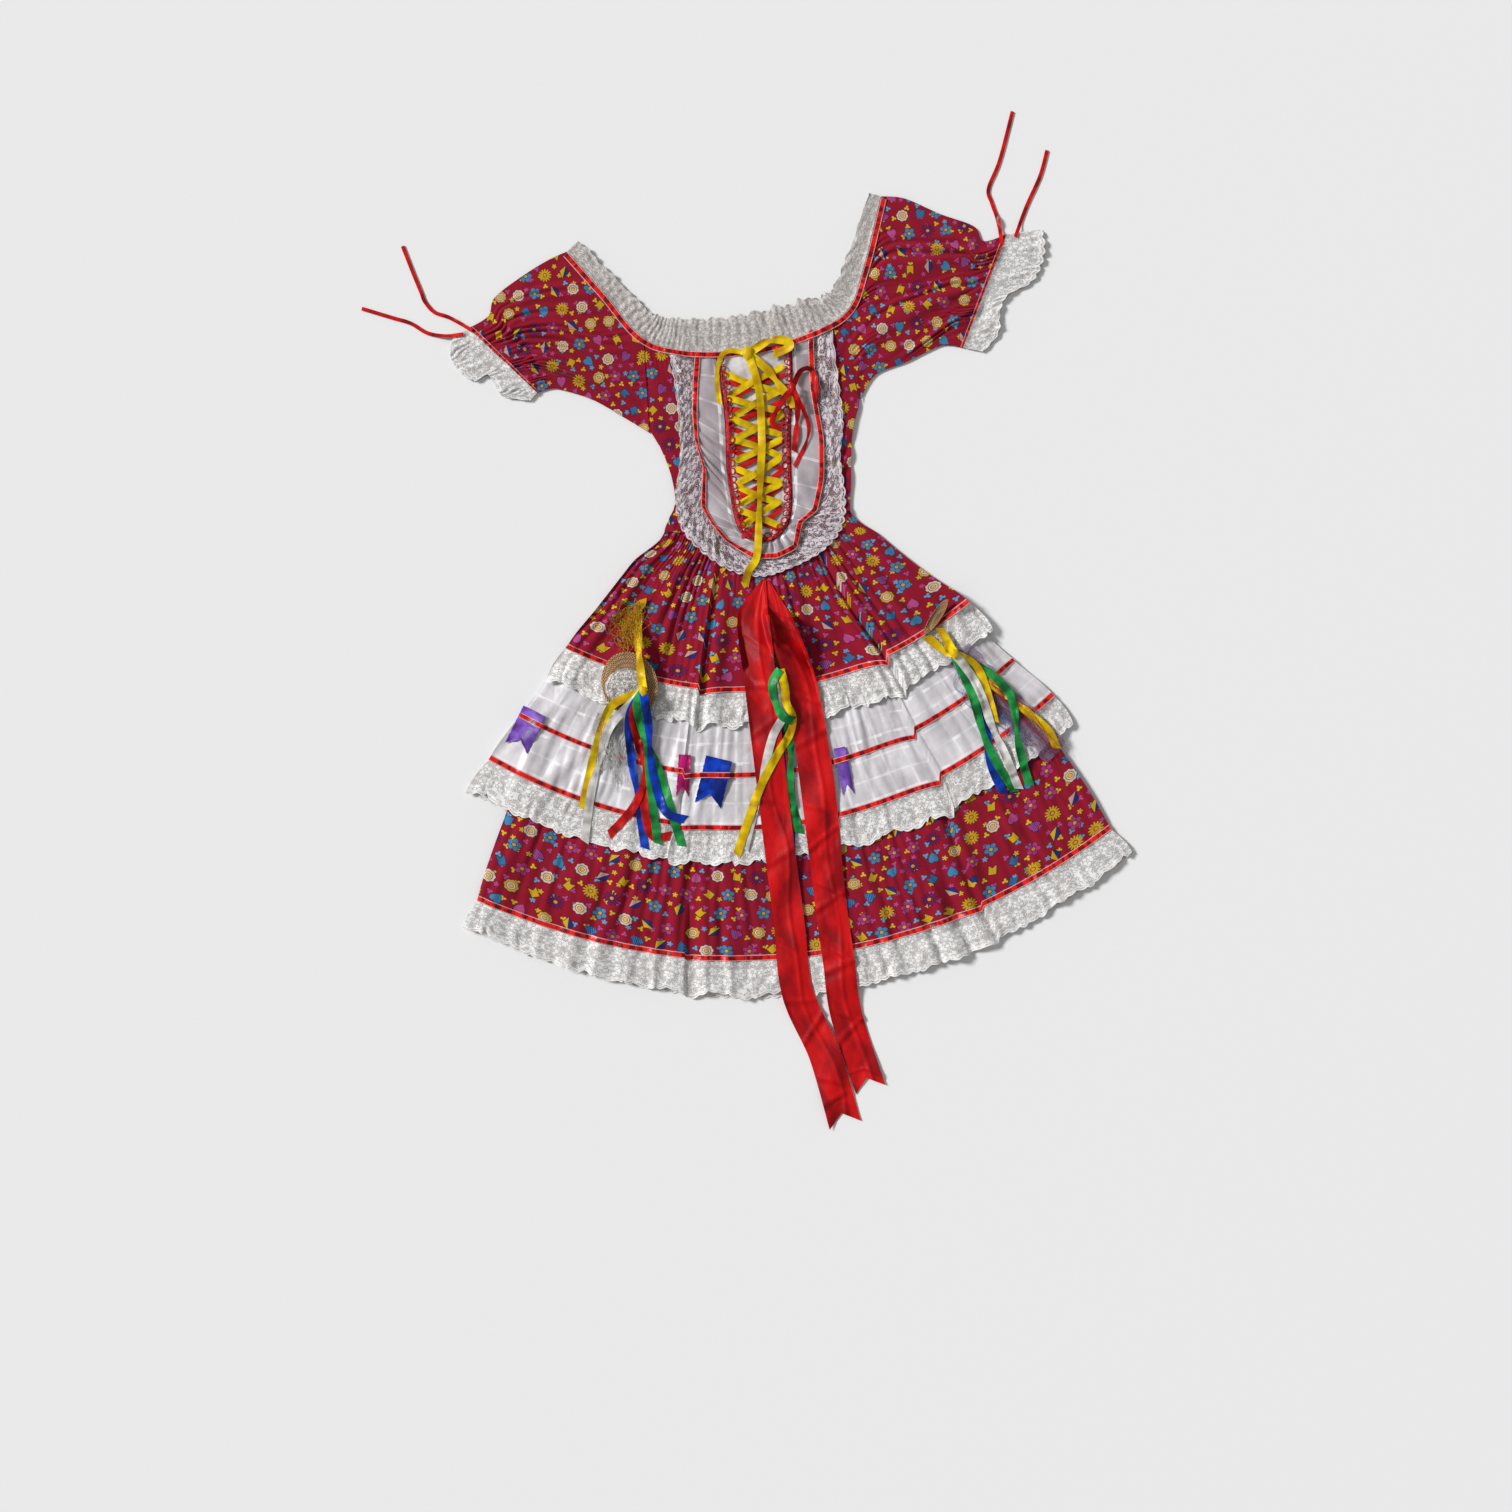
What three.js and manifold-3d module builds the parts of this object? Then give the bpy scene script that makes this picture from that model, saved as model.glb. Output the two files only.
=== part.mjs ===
// A girl's quadrilha dress, laid flat on its back.
// Millimetres: +X to the right across the dress, +Y towards the neck, +Z up from the floor.
// Every wall is worked out on a grid of points and lies on the walls made before it.

import * as THREE from 'three';
import Module from 'manifold-3d';
import { mergeVertices } from 'three/addons/utils/BufferGeometryUtils.js';

const wasm = await Module();
wasm.setup();

// Cloth
const WALL = 1.0;
const GAP = 0.3;
const SEAM_GAP = 0.4;
const TRIM = 7;
const WAVE_MOST = 3.8;
const LACE_CURL = 9;

// The whole model is moved by this much, so that the middle of its outline is the origin
const SHIFT = { x: 6, y: 204.9 };

// Rows of the skirt, from the waist down. low is the row's lowest y, at its middle. half is half its
// width, rise is how much higher its two ends lie, and mid is the x of its middle.
const UPPER = [
  { low: -38, half: 112, rise: 12, mid: -7 },
  { low: -95, half: 148, rise: 38, mid: -12 },
  { low: -160, half: 194, rise: 56, mid: -12 },
  { low: -229, half: 243, rise: 77, mid: -9 },
  { low: -273, half: 269, rise: 84, mid: -8 },
];
const RUFFLE = [
  { low: -214, half: 226, rise: 68, mid: -10 },
  { low: -262, half: 261, rise: 78, mid: -16 },
  { low: -331, half: 299, rise: 104, mid: -18 },
  { low: -394, half: 341, rise: 120, mid: -18 },
  { low: -436, half: 366, rise: 126, mid: -22 },
];
const LOWER = [
  { low: -212, half: 214, rise: 60, mid: -10 },
  { low: -331, half: 280, rise: 84, mid: -14 },
  { low: -440, half: 333, rise: 104, mid: -10 },
  { low: -551, half: 382, rise: 111, mid: -9 },
  { low: -598, half: 403, rise: 126, mid: -6 },
];
const BODICE = [
  { low: 94, half: 127, rise: 8, mid: 3 },
  { low: 48, half: 112, rise: 2, mid: 4 },
  { low: 4, half: 107, rise: 2, mid: 4 },
  { low: -37.6, half: 112, rise: 12, mid: -7 },
];

// Side steps where a pleat folds over: u is where across the row, -1 to 1, drop is how far the
// cloth beside the fold hangs lower, and fade is how soon that ends, to the right or the left.
const PLEATS = [
  { u: -0.37, drop: 8, fade: 0.14 },
  { u: 0.57, drop: 12, fade: -0.16 },
];

// Neckline from the left shoulder tip to the right one, and how far its lace stands out
const NECKLINE = [
  { x: -198, y: 321, lace: 20 },
  { x: -158, y: 264, lace: 24 },
  { x: -119, y: 208, lace: 34 },
  { x: -67, y: 186, lace: 42 },
  { x: 2, y: 180, lace: 44 },
  { x: 64, y: 187, lace: 44 },
  { x: 125, y: 210, lace: 34 },
  { x: 152, y: 258, lace: 26 },
  { x: 184, y: 345, lace: 16 },
];
const SEAM = { left: 2, right: 6 };

// Rows of a sleeve, from the body to the cuff: the point on its fold, the point at its underarm
// seam, and how far the row bows towards the body.
const SLEEVES = {
  left: [
    { topX: -198, topY: 321, endX: -124, endY: 94, bow: 0 },
    { topX: -220, topY: 314, endX: -152, endY: 116, bow: 16 },
    { topX: -254, topY: 298, endX: -188, endY: 142, bow: 10 },
    { topX: -290, topY: 276, endX: -224, endY: 158, bow: 5 },
    { topX: -300, topY: 255, endX: -237, endY: 160, bow: 2 },
    { topX: -325, topY: 243, endX: -252, endY: 157, bow: 0 },
  ],
  right: [
    { topX: 184, topY: 345, endX: 131, endY: 104, bow: 0 },
    { topX: 212, topY: 339, endX: 153, endY: 133, bow: 16 },
    { topX: 252, topY: 316, endX: 190, endY: 144, bow: 10 },
    { topX: 290, topY: 297, endX: 230, endY: 158, bow: 5 },
    { topX: 300, topY: 278, endX: 244, endY: 159, bow: 2 },
    { topX: 328, topY: 283, endX: 261, endY: 154, bow: 0 },
  ],
};

// Outer edge of the lace at each cuff, from the fold to the underarm seam
const CUFF_EDGES = {
  left: [
    [-346, 232], [-351, 218], [-347, 200], [-328, 179], [-309, 184], [-300, 168], [-292, 156], [-262, 148],
  ],
  right: [
    [372, 284], [373, 262], [366, 240], [352, 222], [322, 210], [311, 192], [306, 166], [285, 146],
  ],
};
const CUFF_WAVES = 5;

// The front panel's lines, from the left end at the neck round its point to the right end
const LACE_EDGE = [
  [-91, 188], [-88, 150], [-88, 100], [-92, 55], [-103, 10], [-98, -28], [-72, -62], [-38, -86],
  [-4, -93], [32, -85], [68, -70], [94, -45], [102, -8], [101, 40], [109, 80], [109, 130], [108, 202],
];
const ORGANZA_EDGE = [
  [-57, 186], [-60, 150], [-68, 100], [-66, 62], [-64, 20], [-58, -15], [-42, -46], [-22, -64],
  [0, -73], [24, -68], [46, -50], [63, -22], [74, 14], [80, 60], [80, 105], [83, 150], [84, 194],
];
const SATIN_EDGE = [
  [-34, 181], [-31, 140], [-32, 90], [-36, 40], [-35, 0], [-32, -24], [-26, -40], [-14, -49],
  [-2, -51], [10, -49], [21, -42], [30, -30], [36, -6], [39, 30], [44, 80], [52, 130], [56, 184],
];
const BEADING = 9;

// The lacing runs between two columns of loops, from under the bow down to the panel's point
const LACING = { top: 152, low: -36, rows: 7, left: -23, right: 42, narrow: 0.62 };
const YELLOW_RIBBON = 10;
const RED_RIBBON = 7;
const ORNAMENT_RIBBON = 8.5;
const SUNK = 0.3;
const BRIM = 1.4;
const CROWN = 3.6;

// Middle lines and widths of the two sash tails
const SASH = {
  left: [
    { x: -8, y: -97, width: 5 }, { x: -24, y: -135, width: 37 }, { x: -25, y: -222, width: 38 },
    { x: -25, y: -354, width: 36 }, { x: -23, y: -502, width: 37 }, { x: -22, y: -592, width: 38 },
    { x: 2, y: -670, width: 38 }, { x: 17, y: -757, width: 39 },
  ],
  right: [
    { x: 0, y: -98, width: 5 }, { x: 6.6, y: -135, width: 19 }, { x: 16, y: -180, width: 29 },
    { x: 24, y: -233, width: 37 }, { x: 29, y: -344, width: 41 }, { x: 29, y: -479, width: 38 },
    { x: 31, y: -560, width: 38 }, { x: 33, y: -625, width: 38 }, { x: 52, y: -718, width: 37 },
  ],
};
const NOTCH = 15;

// Swallowtail flags: where each hangs from, its size, its turn in degrees and its colour
const FLAGS = [
  { name: 'flag_purple_left', x: -297, y: -222, width: 30, length: 50, turn: -33, colour: 0x8a5ac8 },
  { name: 'flag_pink', x: -124, y: -294, width: 15, length: 50, turn: -10, colour: 0xc01870 },
  { name: 'flag_blue', x: -84, y: -303, width: 32, length: 58, turn: -20, colour: 0x0a50e0 },
  { name: 'flag_purple_right', x: 60, y: -306, width: 14, length: 58, turn: 5, colour: 0x8a5ac8 },
];

// Small straw hats with ribbons tied at their brims. Each ribbon's path is a list of [x, y] that it
// passes on its way from the knot. A hat's size is half its width, along and across its long way.
const ORNAMENTS = [
  {
    name: 'left', hat: { x: -180, y: -203, along: 39, across: 33, turn: 12 }, knot: [-164, -214],
    tulle: { width: 42, path: [[-204, -238], [-210, -258], [-214, -278], [-212, -300]] },
    tinsel: { width: 50, path: [[-176, -160], [-178, -140], [-184, -118], [-188, -98]] },
    ribbons: [
      [[-172, -180], [-166, -140], [-163, -112], [-176, -102]],
      [[-200, -224], [-216, -245], [-230, -276], [-240, -305], [-253, -345]],
      [[-208, -250], [-226, -290], [-240, -325], [-255, -384]],
      [[-184, -240], [-188, -285], [-186, -335], [-184, -400]],
      [[-180, -240], [-178, -275], [-171, -308], [-179, -345], [-174, -385], [-152, -388]],
      [[-166, -262], [-172, -309], [-192, -349], [-225, -379]],
      [[-174, -229], [-170, -265], [-160, -297], [-153, -330], [-140, -402]],
      [[-166, -270], [-169, -323], [-168, -396]],
      [[-163, -250], [-165, -294], [-161, -340], [-152, -362], [-132, -371]],
    ],
  },
  {
    name: 'middle', hat: { x: -4, y: -206, along: 30, across: 24, turn: 0 }, knot: [-2, -236],
    tulle: { width: 30, path: [[-2, -236], [-4, -262], [-6, -290]] },
    ribbons: [
      [[-15, -288], [-40, -350], [-66, -414]],
      [[-6, -290], [-42, -348], [-76, -420]],
      [[-10, -300], [-6, -360], [-11, -426]],
      [[0, -290], [-3, -345], [-9, -396]],
      [[2, -300], [-4, -350], [1, -402]],
    ],
  },
  {
    name: 'right', hat: { x: 196, y: -171, along: 33, across: 15, turn: -36 }, knot: [212, -208],
    tulle: { width: 44, path: [[214, -208], [240, -244], [276, -290], [318, -342]] },
    ribbons: [
      [[200, -199], [190, -182]],
      [[231, -225], [240, -250], [247, -296]],
      [[226, -239], [236, -268], [243, -299], [256, -338], [268, -379]],
      [[243, -234], [262, -254], [271, -276], [273, -330], [281, -376]],
      [[224, -262], [234, -315], [248, -353], [263, -382]],
      [[234, -290], [238, -347], [249, -382]],
      [[250, -252], [290, -292], [310, -314], [318, -336]],
    ],
  },
];

// Free ends of the ribbons that draw the sleeves in, from the cuff out to the tip
const CORDS = {
  left_a: [[-321, 239], [-346, 258], [-364, 267], [-374, 281], [-377, 292], [-385, 320], [-393, 350]],
  left_b: [[-332, 236], [-354, 237], [-375, 243], [-394, 257], [-415, 266], [-450, 281]],
  right_a: [[321, 270], [320, 300], [315, 323], [313, 340], [330, 372], [352, 429]],
  right_b: [[338, 278], [356, 314], [376, 348], [388, 378]],
};
const CORD_RIBBON = 4.5;
const CORD_STEPS = 14;

const COLOURS = {
  print: 0xa81b36, trim: 0xc8101a, sash: 0xdc2420, lace: 0xd8d4d2, organza: 0xe2dfe2, satin: 0xf2f0ee,
  yellow: 0xeccb12, red: 0xc8141c, straw: 0xb8906a, tulle: 0xd8d8d4, tinsel: 0xc89028,
};

const dress = new THREE.Group();
dress.position.set(SHIFT.x, SHIFT.y, 0);

// A map of how high the dress has been built so far, in square cells
const CELL = 2;
const MAP = { left: -480, low: -800, wide: 480, tall: 620 };
const heights = new Float32Array(MAP.wide * MAP.tall);

function raise(a, b, c) {
  const column = (x) => (x - MAP.left) / CELL;
  const row = (y) => (y - MAP.low) / CELL;
  const [ax, ay, bx, by, cx, cy] = [column(a.x), row(a.y), column(b.x), row(b.y), column(c.x), row(c.y)];
  const area = (bx - ax) * (cy - ay) - (by - ay) * (cx - ax);
  if (Math.abs(area) < 1e-9) return;
  for (let j = Math.floor(Math.min(ay, by, cy)); j <= Math.ceil(Math.max(ay, by, cy)); j++) {
    for (let i = Math.floor(Math.min(ax, bx, cx)); i <= Math.ceil(Math.max(ax, bx, cx)); i++) {
      const toB = ((i - ax) * (cy - ay) - (j - ay) * (cx - ax)) / area;
      const toC = ((bx - ax) * (j - ay) - (by - ay) * (i - ax)) / area;
      if (toB < -0.02 || toC < -0.02 || toB + toC > 1.02) continue;
      const z = a.z + toB * (b.z - a.z) + toC * (c.z - a.z);
      const cell = j * MAP.wide + i;
      heights[cell] = Math.max(heights[cell], z);
    }
  }
}

function topNear(x, y, reach) {
  const cells = Math.ceil(reach / CELL);
  const column = Math.round((x - MAP.left) / CELL);
  const row = Math.round((y - MAP.low) / CELL);
  let top = 0;
  for (let j = -cells; j <= cells; j++) {
    for (let i = -cells; i <= cells; i++) {
      if (i * i + j * j > cells * cells) continue;
      top = Math.max(top, heights[(row + j) * MAP.wide + column + i]);
    }
  }
  return top;
}

const restingOn = (x, y, reach) => {
  const top = topNear(x, y, reach);
  return top > 0 ? top + GAP : 0;
};

const mix = (a, b, t) => a + (b - a) * t;

// A smooth value through a table's rows at the place t, counted in rows
function through(values, t) {
  const i = Math.min(values.length - 2, Math.max(0, Math.floor(t)));
  const at = (k) => values[Math.min(values.length - 1, Math.max(0, k))];
  const [p, q, r, s] = [at(i - 1), at(i), at(i + 1), at(i + 2)];
  const f = t - i;
  return q + 0.5 * f * (r - p + f * (2 * p - 5 * q + 4 * r - s + f * (3 * (q - r) + s - p)));
}

// The point on a line of [x, y] pairs, s from 0 at its start to 1 at its end
const lineAt = (line, s) => ({
  x: through(line.map((p) => p[0]), s * (line.length - 1)),
  y: through(line.map((p) => p[1]), s * (line.length - 1)),
});

function rowAt(table, low) {
  let k = 0;
  while (k < table.length - 2 && low < table[k + 1].low) k++;
  const t = k + (table[k].low - low) / (table[k].low - table[k + 1].low);
  const column = (key) => through(table.map((row) => row[key]), t);
  return { half: column('half'), rise: column('rise'), mid: column('mid') };
}

// The point across a skirt or bodice row, u from -1 at the left to 1 at the right
function across(table, low, u, pleated) {
  const { half, rise, mid } = rowAt(table, low);
  let y = low + rise * u * u;
  if (pleated) {
    for (const { u: at, drop, fade } of PLEATS) {
      const beside = (u - at) / fade;
      if (beside > 0) y -= drop * pleated * Math.exp(-beside * 2.2);
    }
  }
  return { x: mid + half * u, y };
}

// A solid from a grid of points that hold the wall's bottom z and top z
function wallOf(grid) {
  const rows = grid.length;
  const columns = grid[0].length;
  const positions = [];
  for (const row of grid) for (const p of row) positions.push(p.x, p.y, p.z, p.x, p.y, p.top);
  const low = (j, i) => 2 * (j * columns + i);
  const high = (j, i) => low(j, i) + 1;
  const faces = [];
  const quad = (a, b, c, d) => faces.push(a, b, c, a, c, d);
  for (let j = 0; j < rows - 1; j++) {
    for (let i = 0; i < columns - 1; i++) {
      quad(high(j, i), high(j + 1, i), high(j + 1, i + 1), high(j, i + 1));
      quad(low(j, i), low(j, i + 1), low(j + 1, i + 1), low(j + 1, i));
    }
  }
  for (let i = 0; i < columns - 1; i++) {
    quad(low(0, i), high(0, i), high(0, i + 1), low(0, i + 1));
    quad(low(rows - 1, i), low(rows - 1, i + 1), high(rows - 1, i + 1), high(rows - 1, i));
  }
  for (let j = 0; j < rows - 1; j++) {
    quad(low(j, 0), low(j + 1, 0), high(j + 1, 0), high(j, 0));
    quad(low(j, columns - 1), high(j, columns - 1), high(j + 1, columns - 1), low(j + 1, columns - 1));
  }
  return facingOut(positions, faces);
}

function volumeOf(positions, faces) {
  let six = 0;
  const at = (k) => new THREE.Vector3().fromArray(positions, 3 * k);
  for (let k = 0; k < faces.length; k += 3) {
    six += at(faces[k]).dot(at(faces[k + 1]).cross(at(faces[k + 2])));
  }
  return six / 6;
}

function facingOut(positions, faces) {
  if (volumeOf(positions, faces) < 0) {
    for (let k = 0; k < faces.length; k += 3) [faces[k], faces[k + 1]] = [faces[k + 1], faces[k]];
  }
  const geometry = new THREE.BufferGeometry();
  geometry.setAttribute('position', new THREE.Float32BufferAttribute(positions, 3));
  geometry.setIndex(faces);
  return geometry;
}

function add(name, colour, geometry, roughness = 0.85) {
  const material = new THREE.MeshStandardMaterial({ color: colour, roughness, metalness: 0 });
  const mesh = new THREE.Mesh(geometry, material);
  mesh.name = name;
  dress.add(mesh);
}

// The steeper the cloth lies, the taller its wall is, so that it stays as thick across
function thicken(grid) {
  const slope = (a, b) => (b.z - a.z) / Math.max(0.5, Math.hypot(b.x - a.x, b.y - a.y));
  grid.forEach((row, j) => row.forEach((p, i) => {
    const along = slope(row[Math.max(0, i - 1)], row[Math.min(row.length - 1, i + 1)]);
    const down = slope(grid[Math.max(0, j - 1)][i], grid[Math.min(grid.length - 1, j + 1)][i]);
    p.top = p.z + WALL * Math.min(1.5, Math.hypot(1, along, down));
  }));
}

function record(grid) {
  const top = (p) => ({ x: p.x, y: p.y, z: p.top });
  for (let j = 0; j < grid.length - 1; j++) {
    for (let i = 0; i < grid[0].length - 1; i++) {
      const [a, b] = [top(grid[j][i]), top(grid[j][i + 1])];
      const [c, d] = [top(grid[j + 1][i]), top(grid[j + 1][i + 1])];
      raise(a, c, d);
      raise(a, d, b);
    }
  }
}

// Lifts a grid's points, by as little as will do, until no square of it dips into what lies below
const PASSES = 14;
const SAMPLE_STEP = 2.5;
function settle(grid) {
  const clear = (a, b, c, d, s, t) => {
    const corners = s > t ? [[a, 1 - s], [b, s - t], [d, t]] : [[a, 1 - t], [c, t - s], [d, s]];
    const sum = (key) => corners.reduce((total, [p, share]) => total + p[key] * share, 0);
    const short = restingOn(sum('x'), sum('y'), CELL) - sum('z');
    if (short <= 0) return;
    const squares = corners.reduce((total, [, share]) => total + share * share, 0);
    for (const [p, share] of corners) p.z += (1.02 * short * share) / squares;
  };
  for (let pass = 0; pass < PASSES; pass++) {
    for (let j = 0; j < grid.length - 1; j++) {
      for (let i = 0; i < grid[0].length - 1; i++) {
        const [a, b, c, d] = [grid[j][i], grid[j][i + 1], grid[j + 1][i], grid[j + 1][i + 1]];
        const steps = (p, q) => Math.min(16, Math.ceil(Math.hypot(p.x - q.x, p.y - q.y) / SAMPLE_STEP));
        const [wide, long] = [steps(a, b), steps(a, c)];
        for (let s = 0; s <= wide; s++) {
          for (let t = 0; t <= long; t++) clear(a, b, c, d, s / wide, t / long);
        }
      }
    }
  }
}

// Cloth laid on what is there already. place(s, t) gives x, y and how far its waves lift it.
function layGrid(columns, rows, place) {
  const grid = [];
  for (let j = 0; j <= rows; j++) {
    const row = [];
    for (let i = 0; i <= columns; i++) {
      const { x, y, lift = 0 } = place(i / columns, j / rows);
      row.push({ x, y, z: restingOn(x, y, CELL) + lift });
    }
    grid.push(row);
  }
  settle(grid);
  thicken(grid);
  return grid;
}

// Pieces that lie side by side: each was laid on what was there before any of them
function keep(...pieces) {
  for (const { name, colour, grid, roughness } of pieces) {
    add(name, colour, wallOf(grid), roughness);
  }
  for (const { grid } of pieces) record(grid);
}

// A trim sewn over some rows of a grid, from that grid's own points moved out
function sewOn(name, colour, grid, from, to) {
  const strip = grid.slice(from, to + 1).map((row) => row.map((p) => (
    { x: p.x, y: p.y, z: p.top + GAP, top: p.top + GAP + WALL }
  )));
  add(name, colour, wallOf(strip), 0.35);
  record(strip);
}

// Uneven waves across a row, 0 in the troughs and 1 on the crests
function waves(u, count, seed) {
  const place = u + 0.05 * Math.sin(3.1 * u + seed) + 0.03 * Math.sin(7.3 * u + 2 * seed);
  const crest = 0.5 + 0.5 * Math.cos(Math.PI * count * place + seed);
  const height = 0.62 + 0.3 * Math.sin(4.7 * u + seed) + 0.08 * Math.sin(11 * u);
  return crest * height;
}

// The sash and what hangs under it press the waves down along the middle
const pressed = (x) => 1 - 0.75 * Math.exp(-(((x + 8) / 70) ** 2));

// A panel of the skirt: rows at the y values of lows, with waves that grow from the height wave.from
// to the height wave.to
function tier(table, lows, columns, wave) {
  return layGrid(columns, lows.length - 1, (s, t) => {
    const low = lows[Math.round(t * (lows.length - 1))];
    const u = mix(-1, 1, s);
    const p = across(table, low, u, wave.pleated);
    const grown = Math.min(1, Math.max(0, (wave.from - low) / (wave.from - wave.to)));
    const edge = Math.min(1, (1 - Math.abs(u)) * 12);
    const crest = waves(u, wave.count, wave.seed);
    const drawn = t === 1 ? (wave.curl ?? 0) * crest : 0;
    return { x: p.x, y: p.y + drawn, lift: WAVE_MOST * grown * edge * pressed(p.x) * crest };
  });
}

// A tier of cloth with the lace sewn to its lower edge, which carries its waves on
function lacedTier(names, colour, table, lows, laceLow, columns, wave) {
  const laceLows = [lows[lows.length - 1] - SEAM_GAP, laceLow];
  const curled = { ...wave, curl: LACE_CURL };
  return [
    { name: names[0], colour, grid: tier(table, lows, columns, wave) },
    { name: names[1], colour: COLOURS.lace, grid: tier(table, laceLows, columns, curled) },
  ];
}

// Skirt, back: plain walls that lie on the floor or on each other
const FLAT = { count: 1, seed: 0, from: -1e4, to: -1e5, pleated: 0 };
const BACK_COLUMNS = 12;
const upperBack = lacedTier(['skirt_upper_back', 'upper_lace_back'], COLOURS.print, UPPER,
  [-38, -95, -160, -229], -273, BACK_COLUMNS, FLAT);

// The neckline as a curve, t from 0 at the left shoulder tip to 1 at the right one
const lastNeck = NECKLINE.length - 1;
function neckline(t) {
  const at = (key) => through(NECKLINE.map((row) => row[key]), t * lastNeck);
  return { x: at('x'), y: at('y'), lace: at('lace') };
}
function outwards(t) {
  const a = neckline(Math.max(0, t - 0.01));
  const b = neckline(Math.min(1, t + 0.01));
  const length = Math.hypot(b.x - a.x, b.y - a.y);
  return { x: -(b.y - a.y) / length, y: (b.x - a.x) / length };
}

// Bodice: its top row is the neckline between the two armhole seams
function bodice(name, lows, lift) {
  const grid = layGrid(16, lows.length - 1, (s, t) => {
    const u = mix(-1, 1, s);
    const k = Math.round(t * (lows.length - 1));
    const p = k === 0
      ? neckline(mix(SEAM.left, SEAM.right, s) / lastNeck)
      : across(BODICE, lows[k], u, 0);
    const beside = Math.abs(u) > 0.75 && Math.abs(u) < 1 && k > 0 ? 1 : 0;
    return { x: p.x, y: p.y, lift: lift * beside * waves(u, 9, 0.4) };
  });
  return { name, colour: COLOURS.print, grid };
}

// A sleeve's first row runs down the neckline from the shoulder tip, then down the armhole seam
function sleeveRow(side, k, s) {
  const row = SLEEVES[side][k];
  const sign = side === 'left' ? -1 : 1;
  if (k === 0) {
    const seam = SEAM[side] / lastNeck;
    const corner = neckline(seam);
    const clear = sign * GAP;
    if (s < 0.5) {
      const p = neckline(mix(side === 'left' ? 0 : 1, seam, s * 2));
      return { x: p.x + clear, y: p.y };
    }
    const t = (s - 0.5) * 2;
    return { x: mix(corner.x, row.endX, t) + clear + sign * 0.5, y: mix(corner.y, row.endY, t) };
  }
  const bowed = 4 * s * (1 - s) * row.bow;
  return { x: mix(row.topX, row.endX, s) - sign * bowed, y: mix(row.topY, row.endY, s) - 0.6 * bowed };
}

// A sleeve or cuff lace: a flattened tube, with its back on the floor and its front on top
function flatTube(name, colour, grid, edge) {
  const rows = grid.length;
  const columns = grid[0].length;
  const inset = (row, i) => {
    const [a, b] = [row[i], row[i === 0 ? 1 : i - 1]];
    if (i !== 0 && i !== columns - 1) return a;
    const length = Math.hypot(b.x - a.x, b.y - a.y);
    return { x: a.x + (edge * (b.x - a.x)) / length, y: a.y + (edge * (b.y - a.y)) / length };
  };
  const positions = [];
  const ring = 2 * columns;
  for (const row of grid) {
    for (let i = 0; i < columns; i++) positions.push(row[i].x, row[i].y, row[i].top);
    for (let i = columns - 1; i >= 0; i--) positions.push(row[i].x, row[i].y, 0);
    for (let i = 0; i < columns; i++) positions.push(inset(row, i).x, inset(row, i).y, row[i].z);
    for (let i = columns - 1; i >= 0; i--) positions.push(inset(row, i).x, inset(row, i).y, WALL);
  }
  const outer = (j, k) => j * 2 * ring + (k % ring);
  const inner = (j, k) => outer(j, k) + ring;
  const faces = [];
  const quad = (a, b, c, d) => faces.push(a, b, c, a, c, d);
  for (let k = 0; k < ring; k++) {
    for (let j = 0; j < rows - 1; j++) {
      quad(outer(j, k), outer(j + 1, k), outer(j + 1, k + 1), outer(j, k + 1));
      quad(inner(j, k), inner(j, k + 1), inner(j + 1, k + 1), inner(j + 1, k));
    }
    quad(outer(0, k), outer(0, k + 1), inner(0, k + 1), inner(0, k));
    quad(outer(rows - 1, k), inner(rows - 1, k), inner(rows - 1, k + 1), outer(rows - 1, k + 1));
  }
  add(name, colour, facingOut(positions, faces));
}

const SLEEVE_COLUMNS = 10;
const CUFF_COLUMNS = 14;
function sleeve(side) {
  const rows = SLEEVES[side].length;
  const grid = [];
  for (let k = 0; k < rows; k++) {
    const row = [];
    for (let i = 0; i <= SLEEVE_COLUMNS; i++) {
      const s = i / SLEEVE_COLUMNS;
      const edge = Math.min(1, 5 * Math.min(s, 1 - s));
      const puff = [0.1, 0.7, 1, 0.7, 0.15, 0.1][k];
      const crest = 0.45 + 0.55 * waves(mix(-1, 1, s), 7, side === 'left' ? 1.2 : 2.6);
      row.push({ ...sleeveRow(side, k, s), z: WALL + GAP + WAVE_MOST * 0.7 * puff * crest * edge });
    }
    grid.push(row);
  }
  thicken(grid);
  flatTube(`sleeve_${side}`, COLOURS.print, grid, WALL);
  return grid;
}

// Lace round the cuff, in waves that grow towards its edge
function cuffLace(side) {
  const last = SLEEVES[side][SLEEVES[side].length - 1];
  const seam = [[last.topX, last.topY], [last.endX, last.endY]];
  const grid = [];
  for (let k = 0; k <= 1; k++) {
    const row = [];
    for (let i = 0; i <= CUFF_COLUMNS; i++) {
      const s = i / CUFF_COLUMNS;
      const [a, b] = [lineAt(seam, s), lineAt(CUFF_EDGES[side], s)];
      const share = k === 1 ? 1 : SEAM_GAP / Math.hypot(b.x - a.x, b.y - a.y);
      const wave = waves(mix(-1, 1, s), CUFF_WAVES * 2, 0.7) * Math.min(1, 6 * Math.min(s, 1 - s));
      row.push({ x: mix(a.x, b.x, share), y: mix(a.y, b.y, share), z: WALL + GAP + k * 2.6 * wave });
    }
    grid.push(row);
  }
  thicken(grid);
  flatTube(`cuff_lace_${side}`, COLOURS.lace, grid, WALL);
  return grid;
}

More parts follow.
